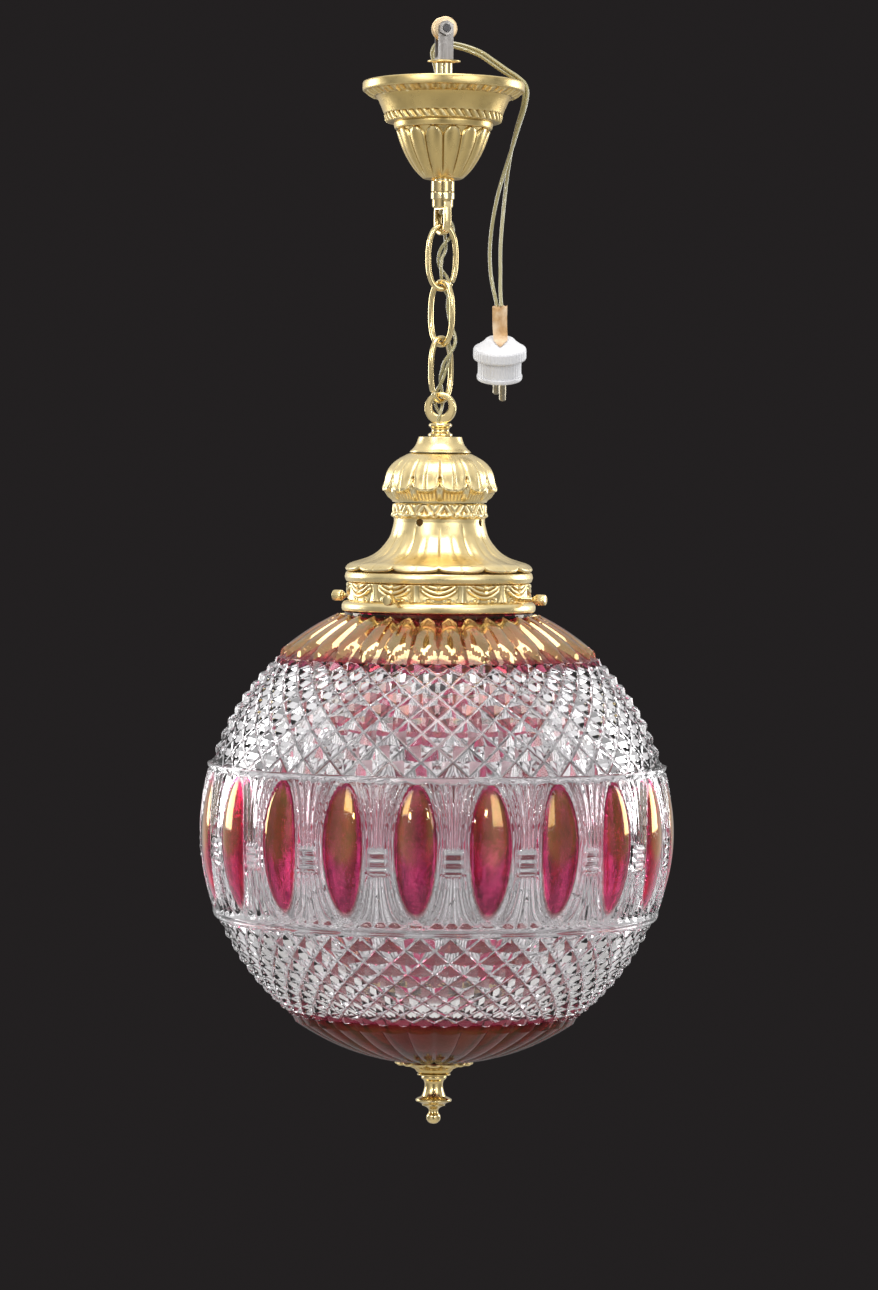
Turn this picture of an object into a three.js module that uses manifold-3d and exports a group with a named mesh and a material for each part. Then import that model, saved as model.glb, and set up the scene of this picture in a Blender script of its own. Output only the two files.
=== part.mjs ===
// Pressed-glass globe pendant on a short chain, with its ceiling canopy, cord and plug.
// Millimetres, +Z up. The origin is the centre of the roller that the ceiling hook carries,
// so every height below it is negative.
import * as THREE from 'three';
import { mergeVertices } from 'three/addons/utils/BufferGeometryUtils.js';
import Module from 'manifold-3d';

const wasm = await Module();
wasm.setup();

// ---- driving dimensions ----
const GAP = 0.3;                 // clearance between pieces that touch
const ROUND = 24;                // sides of a large turned piece
const SMALL_ROUND = 12;          // sides of a small turned piece

const ROLLER_R = 7.1;
const ROLLER_HALF = 4.9;         // half the roller's length
const BRACKET_TURN = 0.17;       // the bracket stands slightly turned about the pipe
const STRAP_WIDTH = 9;
const STRAP_THICK = 1.2;
const STRAP_INNER = 5.2;         // from the axis to the inside of a strap leg
const STRAP_BASE = -18.4;        // underside of the strap
const BOLT_R = 2.2;

const FLANGE_R = 9.8;
const PIPE_R = 5;
const PIPE_BORE = 3.4;
const PIPE_TOP = -20.5;
const PIPE_END = -98.6;
const CORD_HOLE_Z = -50;         // side hole where the free cord joins the wiring
const CORD_HOLE_R = 2.5;
const CORD_HOLE_TURN = Math.PI + 0.5;

const CANOPY_BOTTOM = -89.2;
const CANOPY_TILT = 0.07;        // the loose canopy hangs front edge up
const CANOPY_FLUTES = 14;
const COLLAR_TOP = -90;

const WIRE_R = 1.65;             // chain wire
const LINK_LENGTH = 37.2;        // between the centres of a link's end wires
const LINK_WIDTH = 16.9;         // between the centres of a link's side wires
const LINK_SPLIT = 0.6;          // gap where a link was opened
const LOOP_TURN = -1.13;         // turn of the canopy loop about the axis
const LINKS = [
  { name: 'chain_link_1', top: -116.7, turn: 0.26, split: 0.86 },
  { name: 'chain_link_2', top: -149.8, turn: -0.72, split: 0.30 },
  { name: 'chain_link_3', top: -183.2, turn: 0.8, split: 0.62 },
];

const EYE_TURN = -0.3;           // turn of the cap loop about the axis
const EYE_TOP = -218;            // inside of the cap loop, where the last link bears
const CAP_TOP = -241.4;          // underside of the cap loop's collar
const PETALS = 12;
const BELL_FLUTES = 12;
const VENT_Z = -292.2;
const VENT_R = 2.35;
const FITTER_TOP = -321.9;
const FITTER_BOTTOM = -345.4;
const FITTER_INNER = 52.3;
const SCREW_Z = -337.2;
const SCREW_TURN = -0.45;        // first thumb screw, counted from the front
const NIPPLE_R = 4.9;
const NIPPLE_HOLE = NIPPLE_R + 0.35;

const GLOBE_Z = -475.2;          // centre of the glass sphere
const GLOBE_R = 139.3;           // ribbed caps
const BAND_R = 142.2;            // diamond and oval bands
const GLOBE_INNER = 134.5;
const NECK_R = 49.5;
const BULB_Z = -412.2;
const BULB_R = 22.5;

const CORD_R = 2;                // round stand-in for the flat twin flex
const CHAIN_CORD_R = 1.8;
const PLUG = new THREE.Vector3(35, 20, -191.5);
const PLUG_TILT = 0.3;           // the plug's top leans to the front
const PIN_R = 2.1;
const PIN_END = 27.6;            // below the middle of the plug's grip
const PIN_OUT = 7;               // each pin's distance from the plug's axis
const PIN_TURN = 1.84;           // turn of the row of pins about that axis

const lamp = new THREE.Group();

const finishes = {
  brass: { color: 0xd8b25c, roughness: 0.32, metalness: 1 },
  polished: { color: 0xe6c876, roughness: 0.15, metalness: 1 },
  steel: { color: 0xb4b2ae, roughness: 0.4, metalness: 1 },
  roller: { color: 0xd9bd8c, roughness: 0.45, metalness: 0.2 },
  glass: { color: 0xf2e8ee, roughness: 0.05, metalness: 0 },
  opal: { color: 0xf6f1ea, roughness: 0.3, metalness: 0 },
  phenolic: { color: 0x2a2422, roughness: 0.6, metalness: 0 },
  clear_flex: { color: 0xc9bf93, roughness: 0.25, metalness: 0 },
  white_plastic: { color: 0xf7f7f7, roughness: 0.35, metalness: 0 },
  paper: { color: 0xc9a06c, roughness: 0.85, metalness: 0 },
};

function place(name, geometry, finish, parent = lamp) {
  const mesh = new THREE.Mesh(geometry, new THREE.MeshStandardMaterial(finishes[finish]));
  mesh.name = name;
  parent.add(mesh);
  return mesh;
}

// ---- shapes ----
// A profile is a list of [radius, height], up the outside and down the inside.
function turned(profile, sides = ROUND) {
  const points = profile.map(([radius, height]) => new THREE.Vector2(radius, height));
  return new THREE.LatheGeometry(points, sides).rotateX(Math.PI / 2);
}

function ring(inner, outer, low, high, sides = SMALL_ROUND) {
  return turned([[inner, low], [outer, low], [outer, high], [inner, high], [inner, low]], sides);
}

function rod(radius, low, high, sides = SMALL_ROUND) {
  return turned([[0, low], [radius, low], [radius, high], [0, high]], sides);
}

// A wall of even thickness under an outer profile that runs upward.
function shell(outer, thickness) {
  const inner = outer.map(([radius, height], i) => {
    const before = outer[Math.max(i - 1, 0)];
    const after = outer[Math.min(i + 1, outer.length - 1)];
    const run = new THREE.Vector2(after[0] - before[0], after[1] - before[1]).normalize();
    return [radius - run.y * thickness, height + run.x * thickness];
  });
  return [...outer, ...inner.reverse(), outer[0]];
}

function arc(radius, centre, from, to, steps) {
  return Array.from({ length: steps + 1 }, (_, i) => {
    const angle = from + (to - from) * i / steps;
    return [radius * Math.sin(angle), centre - radius * Math.cos(angle)];
  });
}

// Lobes around a turned shell: depth(height) is how far the valleys are pressed in.
function fluted(geometry, count, turn, depth) {
  const position = geometry.attributes.position;
  for (let i = 0; i < position.count; i += 1) {
    const [x, y, z] = [position.getX(i), position.getY(i), position.getZ(i)];
    const radius = Math.hypot(x, y);
    if (radius === 0) continue;
    const lobe = Math.abs(Math.cos(count / 2 * (Math.atan2(x, -y) - turn)));
    const scale = (radius - depth(z) * (1 - lobe)) / radius;
    position.setXY(i, x * scale, y * scale);
  }
  return geometry;
}

function between(value, low, high) {
  return THREE.MathUtils.smoothstep(value, low, high);
}

function circle(radius, sides) {
  const points = Array.from({ length: sides }, (_, i) => {
    const angle = 2 * Math.PI * (i + 0.5) / sides;
    return new THREE.Vector2(radius * Math.cos(angle), radius * Math.sin(angle));
  });
  return new THREE.Shape(points);
}

function wire(curve, radius, steps, sides = 8) {
  return new THREE.ExtrudeGeometry(circle(radius, sides), { extrudePath: curve, steps });
}

// A hexagonal nut on the axis, between two heights.
function hexNut(acrossFlats, hole, low, high) {
  const shape = circle(acrossFlats / Math.sqrt(3), 6);
  shape.holes.push(new THREE.Path(circle(hole, 16).getPoints().reverse()));
  const settings = { depth: high - low, bevelEnabled: false };
  return new THREE.ExtrudeGeometry(shape, settings).translate(0, 0, low);
}

// ---- joins and cuts ----
function solid(geometry) {
  const bare = geometry.clone();
  bare.deleteAttribute('normal');
  bare.deleteAttribute('uv');
  const merged = mergeVertices(bare, 1e-4);
  return new wasm.Manifold(new wasm.Mesh({
    numProp: 3,
    vertProperties: new Float32Array(merged.attributes.position.array),
    triVerts: new Uint32Array(merged.index.array),
  }));
}

function geometryOf(body) {
  const mesh = body.getMesh();
  const geometry = new THREE.BufferGeometry();
  geometry.setAttribute('position', new THREE.BufferAttribute(mesh.vertProperties, 3));
  geometry.setIndex(new THREE.BufferAttribute(mesh.triVerts, 1));
  return geometry;
}

function join(...pieces) {
  return geometryOf(pieces.map(solid).reduce((whole, piece) => whole.add(piece)));
}

function cut(geometry, ...tools) {
  return geometryOf(tools.map(solid).reduce((whole, tool) => whole.subtract(tool), solid(geometry)));
}

// A drill that runs outward from the axis, at an angle counted from the front.
function radialRod(radius, from, to, angle, height, sides = 12) {
  return rod(radius, from, to, sides).rotateX(Math.PI / 2).rotateZ(angle).translate(0, 0, height);
}

// ---- hanger: bracket, roller, bolt, flange, pipe ----
function strap() {
  const legShape = new THREE.Shape();
  legShape.moveTo(-STRAP_WIDTH / 2, STRAP_BASE);
  legShape.lineTo(STRAP_WIDTH / 2, STRAP_BASE);
  legShape.absarc(0, 0, STRAP_WIDTH / 2, 0, Math.PI, false);
  legShape.closePath();
  legShape.holes.push(new THREE.Path(circle(BOLT_R + GAP, 16).getPoints().reverse()));
  const legSettings = { depth: STRAP_THICK, bevelEnabled: false, curveSegments: 10 };
  const leg = new THREE.ExtrudeGeometry(legShape, legSettings).rotateX(Math.PI / 2);
  const front = leg.clone().translate(0, -STRAP_INNER, 0);
  const back = leg.clone().translate(0, STRAP_INNER + STRAP_THICK, 0);
  const depth = 2 * STRAP_INNER + STRAP_THICK;
  const base = new THREE.BoxGeometry(STRAP_WIDTH, depth, STRAP_THICK)
    .translate(0, 0, STRAP_BASE + STRAP_THICK / 2);
  return cut(join(base, front, back), rod(3.3, STRAP_BASE - 1, STRAP_BASE + 3));
}

function hanger() {
  const group = new THREE.Group();
  group.rotation.z = BRACKET_TURN;
  lamp.add(group);
  place('hanger_strap', strap(), 'steel', group);

  const spool = [[BOLT_R + GAP, -ROLLER_HALF], [ROLLER_R - 0.6, -ROLLER_HALF],
    [ROLLER_R, -ROLLER_HALF + 0.7], [ROLLER_R, -3], [4.9, -1.4], [4.9, 1.4], [ROLLER_R, 3],
    [ROLLER_R, ROLLER_HALF - 0.7], [ROLLER_R - 0.6, ROLLER_HALF], [BOLT_R + GAP, ROLLER_HALF],
    [BOLT_R + GAP, -ROLLER_HALF]];
  place('hanger_roller', turned(spool, SMALL_ROUND).rotateX(Math.PI / 2), 'roller', group);

  const outside = STRAP_INNER + STRAP_THICK + GAP;
  const bolt = [[0, -outside - 2.9], [BOLT_R, -outside - 2.9], [BOLT_R, outside], [3.9, outside],
    [3.9, outside + 1.2], [2.6, outside + 2], [0, outside + 2]];
  place('roller_bolt', turned(bolt, 12).rotateX(-Math.PI / 2), 'steel', group);
  const nut = hexNut(8, BOLT_R + GAP, outside, outside + 2.4).rotateX(Math.PI / 2);
  place('roller_nut', nut, 'steel', group);

  const rivet = [[0, -25], [2.9, -25], [2.9, STRAP_BASE + STRAP_THICK + GAP],
    [4.1, STRAP_BASE + STRAP_THICK + GAP], [3.6, STRAP_BASE + 2.6], [0, STRAP_BASE + 2.9]];
  place('hanger_rivet', turned(rivet, 12), 'steel');
  const flange = [[3.3, -20.2], [6, -20.2], [FLANGE_R, -19.5], [FLANGE_R, -18.9],
    [FLANGE_R - 0.5, STRAP_BASE - GAP], [3.3, STRAP_BASE - GAP], [3.3, -20.2]];
  place('hanger_flange', turned(flange, SMALL_ROUND), 'brass');

  const pipe = ring(PIPE_BORE, PIPE_R, PIPE_END, PIPE_TOP);
  const side = radialRod(CORD_HOLE_R, 0, 8, CORD_HOLE_TURN, CORD_HOLE_Z);
  place('canopy_pipe', cut(pipe, side), 'brass');
  const collar = [[NIPPLE_HOLE, -96.5], [6.5, -96.5], [6.9, -96.1], [6.9, COLLAR_TOP - 0.5],
    [6.5, COLLAR_TOP], [NIPPLE_HOLE, COLLAR_TOP], [NIPPLE_HOLE, -96.5]];
  place('canopy_collar', turned(collar, SMALL_ROUND), 'polished');
}

// ---- canopy: a bell with fluted bowl, dentil step and moulded rim ----
function canopy() {
  const outer = [[6.7, 0], [9.5, 0], [12.2, 0.9], [16.3, 5.4], [20.5, 11.7], [23.6, 17.8],
    [25.9, 23.8], [27.7, 29.7], [29, 30.3], [29.3, 33.5], [33.9, 34], [34.5, 38], [35.4, 38.6],
    [39.9, 47.8], [42.5, 50], [46.4, 51.6], [48.1, 52.6]];
  const rim = [[48.1, 57.6], [46, 57.6], [46, 53.6]];
  const wall = 1.3;
  const inner = shell(outer, wall).slice(outer.length + 2, 2 * outer.length);
  inner[inner.length - 1] = [6.7, wall];
  const depth = (height) => 1.6 * between(height, 1, 8) * (1 - between(height, 28.5, 29.9));
  const bell = fluted(turned([...outer, ...rim, ...inner, outer[0]], 2 * CANOPY_FLUTES),
    CANOPY_FLUTES, Math.PI / CANOPY_FLUTES, depth);
  const mesh = place('canopy', bell, 'brass');
  mesh.rotation.x = -CANOPY_TILT;
  mesh.position.z = CANOPY_BOTTOM;
}

// ---- canopy loop: threaded neck with a cast loop under it ----
function canopyLoop() {
  const [width, window, middle, windowTop] = [8, 5.2, -114.2, -107.4];
  const outline = new THREE.Shape();
  outline.moveTo(5.6, -101.5);
  outline.quadraticCurveTo(7.4, -104.5, width, -108.5);
  outline.lineTo(width, middle);
  outline.absarc(0, middle, width, 0, -Math.PI, true);
  outline.lineTo(-width, -108.5);
  outline.quadraticCurveTo(-7.4, -104.5, -5.6, -101.5);
  outline.closePath();
  const opening = new THREE.Path();
  opening.moveTo(-window, windowTop);
  opening.lineTo(-window, middle);
  opening.absarc(0, middle, window, Math.PI, 2 * Math.PI, false);
  opening.lineTo(window, windowTop);
  opening.closePath();
  outline.holes.push(opening);
  const plate = castPlate(outline, 4.6, 0.9);
  const neck = turned([[0, -106.2], [5.2, -106.2], [6.2, -105], [6.2, -100.9], [7, -100.5], [7, -97.2],
    [6.6, -96.8], [0, -96.8]], SMALL_ROUND);
  const body = cut(join(plate, neck), rod(PIPE_R + 0.35, -99, -90), rod(PIPE_BORE, -115, -98));
  place('canopy_loop', body.rotateZ(LOOP_TURN), 'polished');
}

// A flat casting with rounded edges that stands in the XZ plane.
function castPlate(outline, thickness, edge) {
  const settings = { depth: thickness - 2 * edge, bevelEnabled: true, bevelThickness: edge,
    bevelSize: edge, bevelOffset: -edge, bevelSegments: 1, curveSegments: 6 };
  return new THREE.ExtrudeGeometry(outline, settings)
    .translate(0, 0, edge - thickness / 2)
    .rotateX(Math.PI / 2);
}

// ---- chain ----
// A long oval of wire, open by a small split.
class LinkCurve extends THREE.Curve {
  constructor(start) {
    super();
    this.start = start;
  }

  getPoint(t, target = new THREE.Vector3()) {
    const open = LINK_SPLIT / (LINK_LENGTH + LINK_WIDTH);
    const angle = 2 * Math.PI * (this.start + open / 2 + t * (1 - open));
    const bulge = (value) => Math.sign(value) * Math.abs(value) ** 0.84;
    const x = LINK_WIDTH / 2 * bulge(Math.cos(angle));
    const z = LINK_LENGTH / 2 * bulge(Math.sin(angle));
    return target.set(x, 0, z);
  }
}

function chain() {
  for (const { name, top, turn, split } of LINKS) {
    const link = wire(new LinkCurve(split), WIRE_R, 28);
    link.rotateZ(turn).translate(0, 0, top - LINK_LENGTH / 2);
    place(name, link, 'polished');
  }
}

// ---- cap: loop, collar, petalled crown, fluted bell, nipple and nuts ----
function capLoop() {
  const [outerR, innerR] = [9.7, 5.3];
  const eye = new THREE.Shape().absarc(0, EYE_TOP - 6.7, outerR, 0, 2 * Math.PI, false);
  eye.holes.push(new THREE.Path().absarc(0, EYE_TOP - innerR, innerR, 0, 2 * Math.PI, true));
  const neck = turned([[0, CAP_TOP], [7.3, CAP_TOP], [7.3, CAP_TOP + 1.6], [5.4, CAP_TOP + 2.6],
    [5.4, CAP_TOP + 4.6], [7, CAP_TOP + 6.4], [6.2, CAP_TOP + 8], [0, CAP_TOP + 8]], SMALL_ROUND);
  const body = join(castPlate(eye, 3, 0.8).rotateZ(EYE_TURN), neck);
  const cordWay = rod(2.5, CAP_TOP - 1, EYE_TOP - innerR);
  place('cap_loop', cut(body, cordWay, rod(NIPPLE_HOLE, CAP_TOP - 1, CAP_TOP + 4)), 'polished');
}

function cap() {
  capLoop();
  place('centre_nipple', ring(3.3, NIPPLE_R, -336, CAP_TOP + 3.6), 'brass');

  const collar = [[18, -250.9], [18, -250], [16.3, -248.2], [14.7, -245.4], [13.6, -242.4],
    [12.8, CAP_TOP - GAP], [NIPPLE_HOLE, CAP_TOP - GAP], [NIPPLE_HOLE, -243], [11.6, -243],
    [13.2, -246.4], [15.6, -250.9], [18, -250.9]];
  place('cap_collar', turned(collar, 24), 'polished');

  const dome = [[28, -280.4], [30.2, -277.8], [33, -275], [34.3, -273], [34.1, -271.4], [33.6, -268.9],
    [32.7, -265.2], [31, -261.2], [28, -257.6], [24.4, -254.8], [20, -252.4], [17.6, -251.5]];
  const domeIn = shell(dome, 1.4).slice(dome.length, 2 * dome.length - 1);
  const top = [[NIPPLE_HOLE, -251.2], [NIPPLE_HOLE, -252.7]];
  const petals = (height) => 1.9 * between(height, -280, -274.5) * (1 - between(height, -262, -253));
  const domeProfile = [...dome, ...top, [17.2, -252.9], ...domeIn, dome[0]];
  const crown = fluted(turned(domeProfile, 2 * PETALS), PETALS, 0, petals);
  place('cap_crown', crown, 'brass');

  const flare = [[56, -321.5], [56.1, -319.2], [53.4, -317.1], [46.4, -314.8], [40.7, -312.4],
    [37, -310], [32.6, -305.3], [29.5, -300.6], [27.9, -295.8], [27.2, -292.2], [27.6, -289.2],
    [27, -288], [27, -280.8]];
  const flareIn = shell(flare, 1.4).slice(flare.length + 1, 2 * flare.length);
  const disc = [[NIPPLE_HOLE, -280.8], [NIPPLE_HOLE, -282.3], [25.6, -282.3]];
  const flutes = (height) => 2.6 * between(-height, 297, 316);
  const skirtProfile = [...flare, ...disc, ...flareIn, flare[0]];
  const skirt = fluted(turned(skirtProfile, 2 * BELL_FLUTES), BELL_FLUTES, 0, flutes);
  const vents = quarters((angle) => radialRod(VENT_R, 18, 34, angle, VENT_Z));
  place('cap_bell', cut(skirt, ...vents), 'brass');
  place('cap_nut', hexNut(14, NIPPLE_HOLE, -287, -282.6), 'steel');
}

function quarters(make) {
  return [0, 1, 2, 3].map((i) => make(SCREW_TURN + i * Math.PI / 2, i));
}

// ---- fitter: ring, bar, thumb screws ----
function fitter() {
  const profile = [[FITTER_INNER, FITTER_BOTTOM], [56.9, FITTER_BOTTOM], [57.6, -343.6], [57.6, -341.2],
    [56.9, -339.6], [53.9, -339.2], [53.9, -328.2], [55.4, -327.6], [55.9, -325], [55.4, -322.4],
    [54.8, FITTER_TOP], [40, FITTER_TOP], [40, -323.3], [FITTER_INNER, -323.3],
    [FITTER_INNER, FITTER_BOTTOM]];
  const holes = quarters((angle) => radialRod(1.85, 48, 62, angle, SCREW_Z));
  place('fitter_ring', cut(turned(profile), ...holes), 'brass');

  const bar = new THREE.BoxGeometry(101, 14, 2).translate(0, 0, -324.6);
  place('fitter_bar', cut(bar, rod(NIPPLE_HOLE, -328, -321)), 'steel');
  place('fitter_nut', hexNut(14, NIPPLE_HOLE, -329.9, -325.9), 'steel');

  const reach = NECK_R + 0.5;
  quarters((angle, i) => {
    const screw = [[0, reach], [1.5, reach], [1.5, 62.5], [2.3, 63], [2.3, 63.8], [3.2, 64.2],
      [3.2, 69.4], [2.6, 70], [0, 70]];
    const geometry = turned(screw, 10).rotateX(Math.PI / 2).rotateZ(angle).translate(0, 0, SCREW_Z);
    place(`thumb_screw_${i + 1}`, geometry, 'polished');
  });
}

// ---- lampholder and bulb ----
function lampholder() {
  const capProfile = [[16.6, -345], [17.6, -345], [17.6, -339], [14, -333.6], [8, -330.8],
    [NIPPLE_HOLE, -330.3], [NIPPLE_HOLE, -331.6], [7.8, -332], [13.2, -334.6], [16.6, -339.4],
    [16.6, -345]];
  place('socket_cap', turned(capProfile, SMALL_ROUND), 'brass');
  place('socket_insulator', ring(3, 16.2, -350.6, -345.6), 'phenolic');
  const sleeve = [[14.2, -381], [16.6, -381], [17.4, -380.4], [17.4, -345.3], [16.5, -345.3],
    [16.5, -351], [14.2, -351], [14.2, -381]];
  place('socket_shell', turned(sleeve, SMALL_ROUND), 'brass');
  place('bulb_base', turned([[0, -384.4], [12.4, -384.4], [13.2, -383.6], [13.2, -360], [10, -356.4],
    [4, -353.4], [0, -353]], SMALL_ROUND), 'steel');

  const throat = Math.PI - 0.6;
  const outside = [...arc(BULB_R, BULB_Z, 0.24, throat, 7), [12.2, -388], [12.2, -384.8]];
  const inside = [[11, -384.8], [11, -388], ...arc(BULB_R - 1.2, BULB_Z, throat, 0, 6)];
  const glass = [[0, BULB_Z - BULB_R], ...outside, ...inside];
  place('bulb_glass', turned(glass, SMALL_ROUND), 'opal');
}

// ---- glass globe ----
function globe() {
  const seam = Math.asin(84.6 / GLOBE_R);
  const low = Math.asin(88.5 / BAND_R);
  const high = Math.PI - Math.asin(126 / BAND_R);
  const shoulder = Math.PI - Math.asin(55.8 / GLOBE_R);
  const bandTop = Math.PI - Math.asin(92.5 / GLOBE_R);
  const outside = [...arc(GLOBE_R, GLOBE_Z, Math.asin(6.5 / GLOBE_R), seam, 2),
    ...arc(BAND_R, GLOBE_Z, low, high, 6), ...arc(GLOBE_R + 0.3, GLOBE_Z, bandTop - 0.2, bandTop, 1),
    ...arc(GLOBE_R, GLOBE_Z, bandTop + 0.03, shoulder, 2),
    [52, -346], [NECK_R, -343], [NECK_R, -334.4], [50.8, -333.4], [50.8, -332], [50, -331.4]];
  const inside = [[45, -331.4], [45, -346],
    ...arc(GLOBE_INNER, GLOBE_Z, Math.PI - Math.asin(50 / GLOBE_INNER), Math.asin(6.5 / GLOBE_INNER), 8)];
  place('glass_globe', turned([...outside, ...inside, outside[0]], 36), 'glass');
}

// ---- bottom finial, clamped through the hole in the glass ----
function finial() {
  const cup = [[3.2, -620.6], [9.4, -620.6], [11.2, -618], [15.6, -616], [22.6, -615], [23.4, -613.6],
    [23, -613], [14, -615], [3.2, -615.3], [3.2, -620.6]];
  place('finial_cup', turned(cup, 16), 'brass');
  const profile = [[0, -651], [2.4, -650.4], [4, -648.4], [4.1, -646.8], [2.9, -644.4], [2.8, -642.6],
    [7, -640], [7.1, -639], [10.6, -637.4], [10.8, -636.6], [9.8, -635.6], [7.2, -634.6], [6, -631],
    [5.4, -627.4], [6, -625], [7.5, -623.8], [7.3, -622.4], [10, -621.6], [10, -620.9], [3.3, -620.9],
    [3.3, -629], [0, -629]];
  place('finial_knob', turned(profile, SMALL_ROUND), 'polished');
  place('finial_stud', rod(2.8, -628, -597), 'brass');
  place('finial_washer', ring(3.2, 13, -607, -605.5), 'brass');
  place('finial_nut', hexNut(10, 3.2, -605.2, -600.8), 'steel');
}

// ---- wiring ----
// The flex is carried by the pipe, the chain and the cap, in one piece for each chain joint.
function chainCord() {
  const through = [
    { name: 'cord_in_pipe', points: [[0, 0, -47], [0, 0, -106.2]] },
    { name: 'cord_at_loop', points: [[0, 0, -107.1], [0.4, 0.8, -110], [3, 4.6, -114.6],
      [4, 6.6, -120], [1.6, 5.4, -128], [-1.2, 4.3, -134.9]] },
    { name: 'cord_at_link_1', points: [[-1.4, 4.2, -136], [-0.9, 4.3, -141], [1.6, 5, -148],
      [3, 5.2, -153], [4.4, 4.6, -160], [5.2, 3.4, -168.4]] },
    { name: 'cord_at_link_2', points: [[5.3, 3.2, -169], [6, 2, -177], [6.4, 0.2, -185.4],
      [5.4, -0.4, -192], [3, 0, -198], [1.7, 0.6, -202.3]] },
    { name: 'cord_at_link_3', points: [[1.5, 0.8, -202.9], [0, 3, -209], [-1.2, 5.4, -216],
      [-1, 5, -221], [0, 1.6, -226.6], [0, 0, -231], [0, 0, -240]] },
    { name: 'cord_in_cap', points: [[0, 0, -240.4], [0, 0, -340]] },
  ];
  for (const { name, points } of through) {
    const curve = new THREE.CatmullRomCurve3(points.map((p) => new THREE.Vector3(...p)));
    const steps = points.length > 2 ? Math.round(curve.getLength() / (2 * CHAIN_CORD_R)) : 1;
    place(name, wire(curve, CHAIN_CORD_R, steps), 'clear_flex');
  }
}

// The free cord: out of the pipe inside the canopy, up behind the bracket, over the rim, down.
function freeCord() {
  const inside = [[-3.6, 6.4, -50], [-4.4, 9.8, -47], [-4, 11.6, -40], [-3.6, 12, -28],
    [-5.4, 11.6, -19], [-6.4, 11.3, -13.6], [-4.4, 11.4, -9.4], [0, 11.6, -8], [6, 11.8, -9],
    [14, 12.4, -11], [22, 13.2, -14.2]];
  const outside = [[22.8, 13.4, -14.7], [30, 15, -19.4], [37, 17, -24], [43, 19.2, -27.6],
    [47.6, 21, -31.6], [49, 21.6, -37], [47.6, 21.4, -46], [44.6, 21.2, -56], [40.4, 21, -72],
    [36, 20.8, -92], [33, 20.4, -112], [31.6, 19.6, -130], [32.2, 18.2, -147], [33.8, 16.4, -160],
    [34.6, 15.6, -164.4]];
  for (const [name, points] of [['cord_inside', inside], ['cord_drop', outside]]) {
    const curve = new THREE.CatmullRomCurve3(points.map((p) => new THREE.Vector3(...p)));
    place(name, wire(curve, CORD_R, Math.round(curve.getLength() / (4 * CORD_R))), 'clear_flex');
  }
}

// ---- plug: round two-pin cap with a knurled grip, and the paper wrap on its cord ----
function plug() {
  const group = new THREE.Group();
  group.position.copy(PLUG);
  group.rotation.x = PLUG_TILT;
  lamp.add(group);
  const grip = [[0, -3.6], [15.2, -3.6], [16, -2.8], [16, 2.6], [15.4, 3.4], [8.6, 8.6], [6.4, 9.4],
    [0, 9.4]];
  place('plug_grip', turned(grip, 16), 'white_plastic', group);
  const body = [[0, -16.4], [12.4, -16.4], [13.6, -15.2], [13.6, -13.6], [13.2, -13], [13.2, -3.9],
    [0, -3.9]];
  place('plug_body', turned(body, 16), 'white_plastic', group);
  const pin = [[0, -PIN_END], [PIN_R - 0.8, -PIN_END], [PIN_R, 0.8 - PIN_END], [PIN_R, -16.7], [0, -16.7]];
  for (const [name, side] of [['plug_pin_front', -1], ['plug_pin_back', 1]]) {
    const shaft = turned(pin, SMALL_ROUND).translate(side * PIN_OUT, 0, 0).rotateZ(PIN_TURN);
    place(name, shaft, 'steel', group);
  }
  const paper = new THREE.BoxGeometry(9.2, 4.6, 17.4).translate(0, 0, 18.4);
  place('cord_wrap', paper, 'paper', group);
}

hanger();
canopy();
canopyLoop();
chain();
cap();
fitter();
lampholder();
globe();
finial();
chainCord();
freeCord();
plug();

export default lamp;
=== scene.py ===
# Looks of the pressed-glass globe pendant. Camera, plug and cords are built first, then the lamp from the
# top down, and the studio last. Lengths are in millimetres until a mesh is made.
import math

import bmesh
import bpy
import numpy as np
from mathutils import Matrix, Vector, noise


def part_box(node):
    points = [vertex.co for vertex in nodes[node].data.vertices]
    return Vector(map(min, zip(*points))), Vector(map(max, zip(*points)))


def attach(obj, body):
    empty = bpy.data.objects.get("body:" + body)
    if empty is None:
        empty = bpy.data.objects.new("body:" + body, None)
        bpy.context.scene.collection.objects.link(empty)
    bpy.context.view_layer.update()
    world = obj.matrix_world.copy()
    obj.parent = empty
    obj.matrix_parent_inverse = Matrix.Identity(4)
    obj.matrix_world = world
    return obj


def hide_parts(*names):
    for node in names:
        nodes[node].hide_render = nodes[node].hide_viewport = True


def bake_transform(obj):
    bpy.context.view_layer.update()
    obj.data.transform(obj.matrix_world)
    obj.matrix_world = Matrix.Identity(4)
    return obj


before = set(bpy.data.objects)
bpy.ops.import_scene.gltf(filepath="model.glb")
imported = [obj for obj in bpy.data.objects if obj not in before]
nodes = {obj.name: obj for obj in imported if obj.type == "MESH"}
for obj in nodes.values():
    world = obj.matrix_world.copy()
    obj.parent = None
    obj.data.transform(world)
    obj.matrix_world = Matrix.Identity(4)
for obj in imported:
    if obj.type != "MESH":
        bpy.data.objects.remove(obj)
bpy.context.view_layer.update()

MM = 0.001
FULL = 2 * math.pi


def top_of(node):
    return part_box(node)[1].z / MM


def bottom_of(node):
    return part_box(node)[0].z / MM


def put(obj):
    bpy.context.scene.collection.objects.link(obj)


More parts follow.
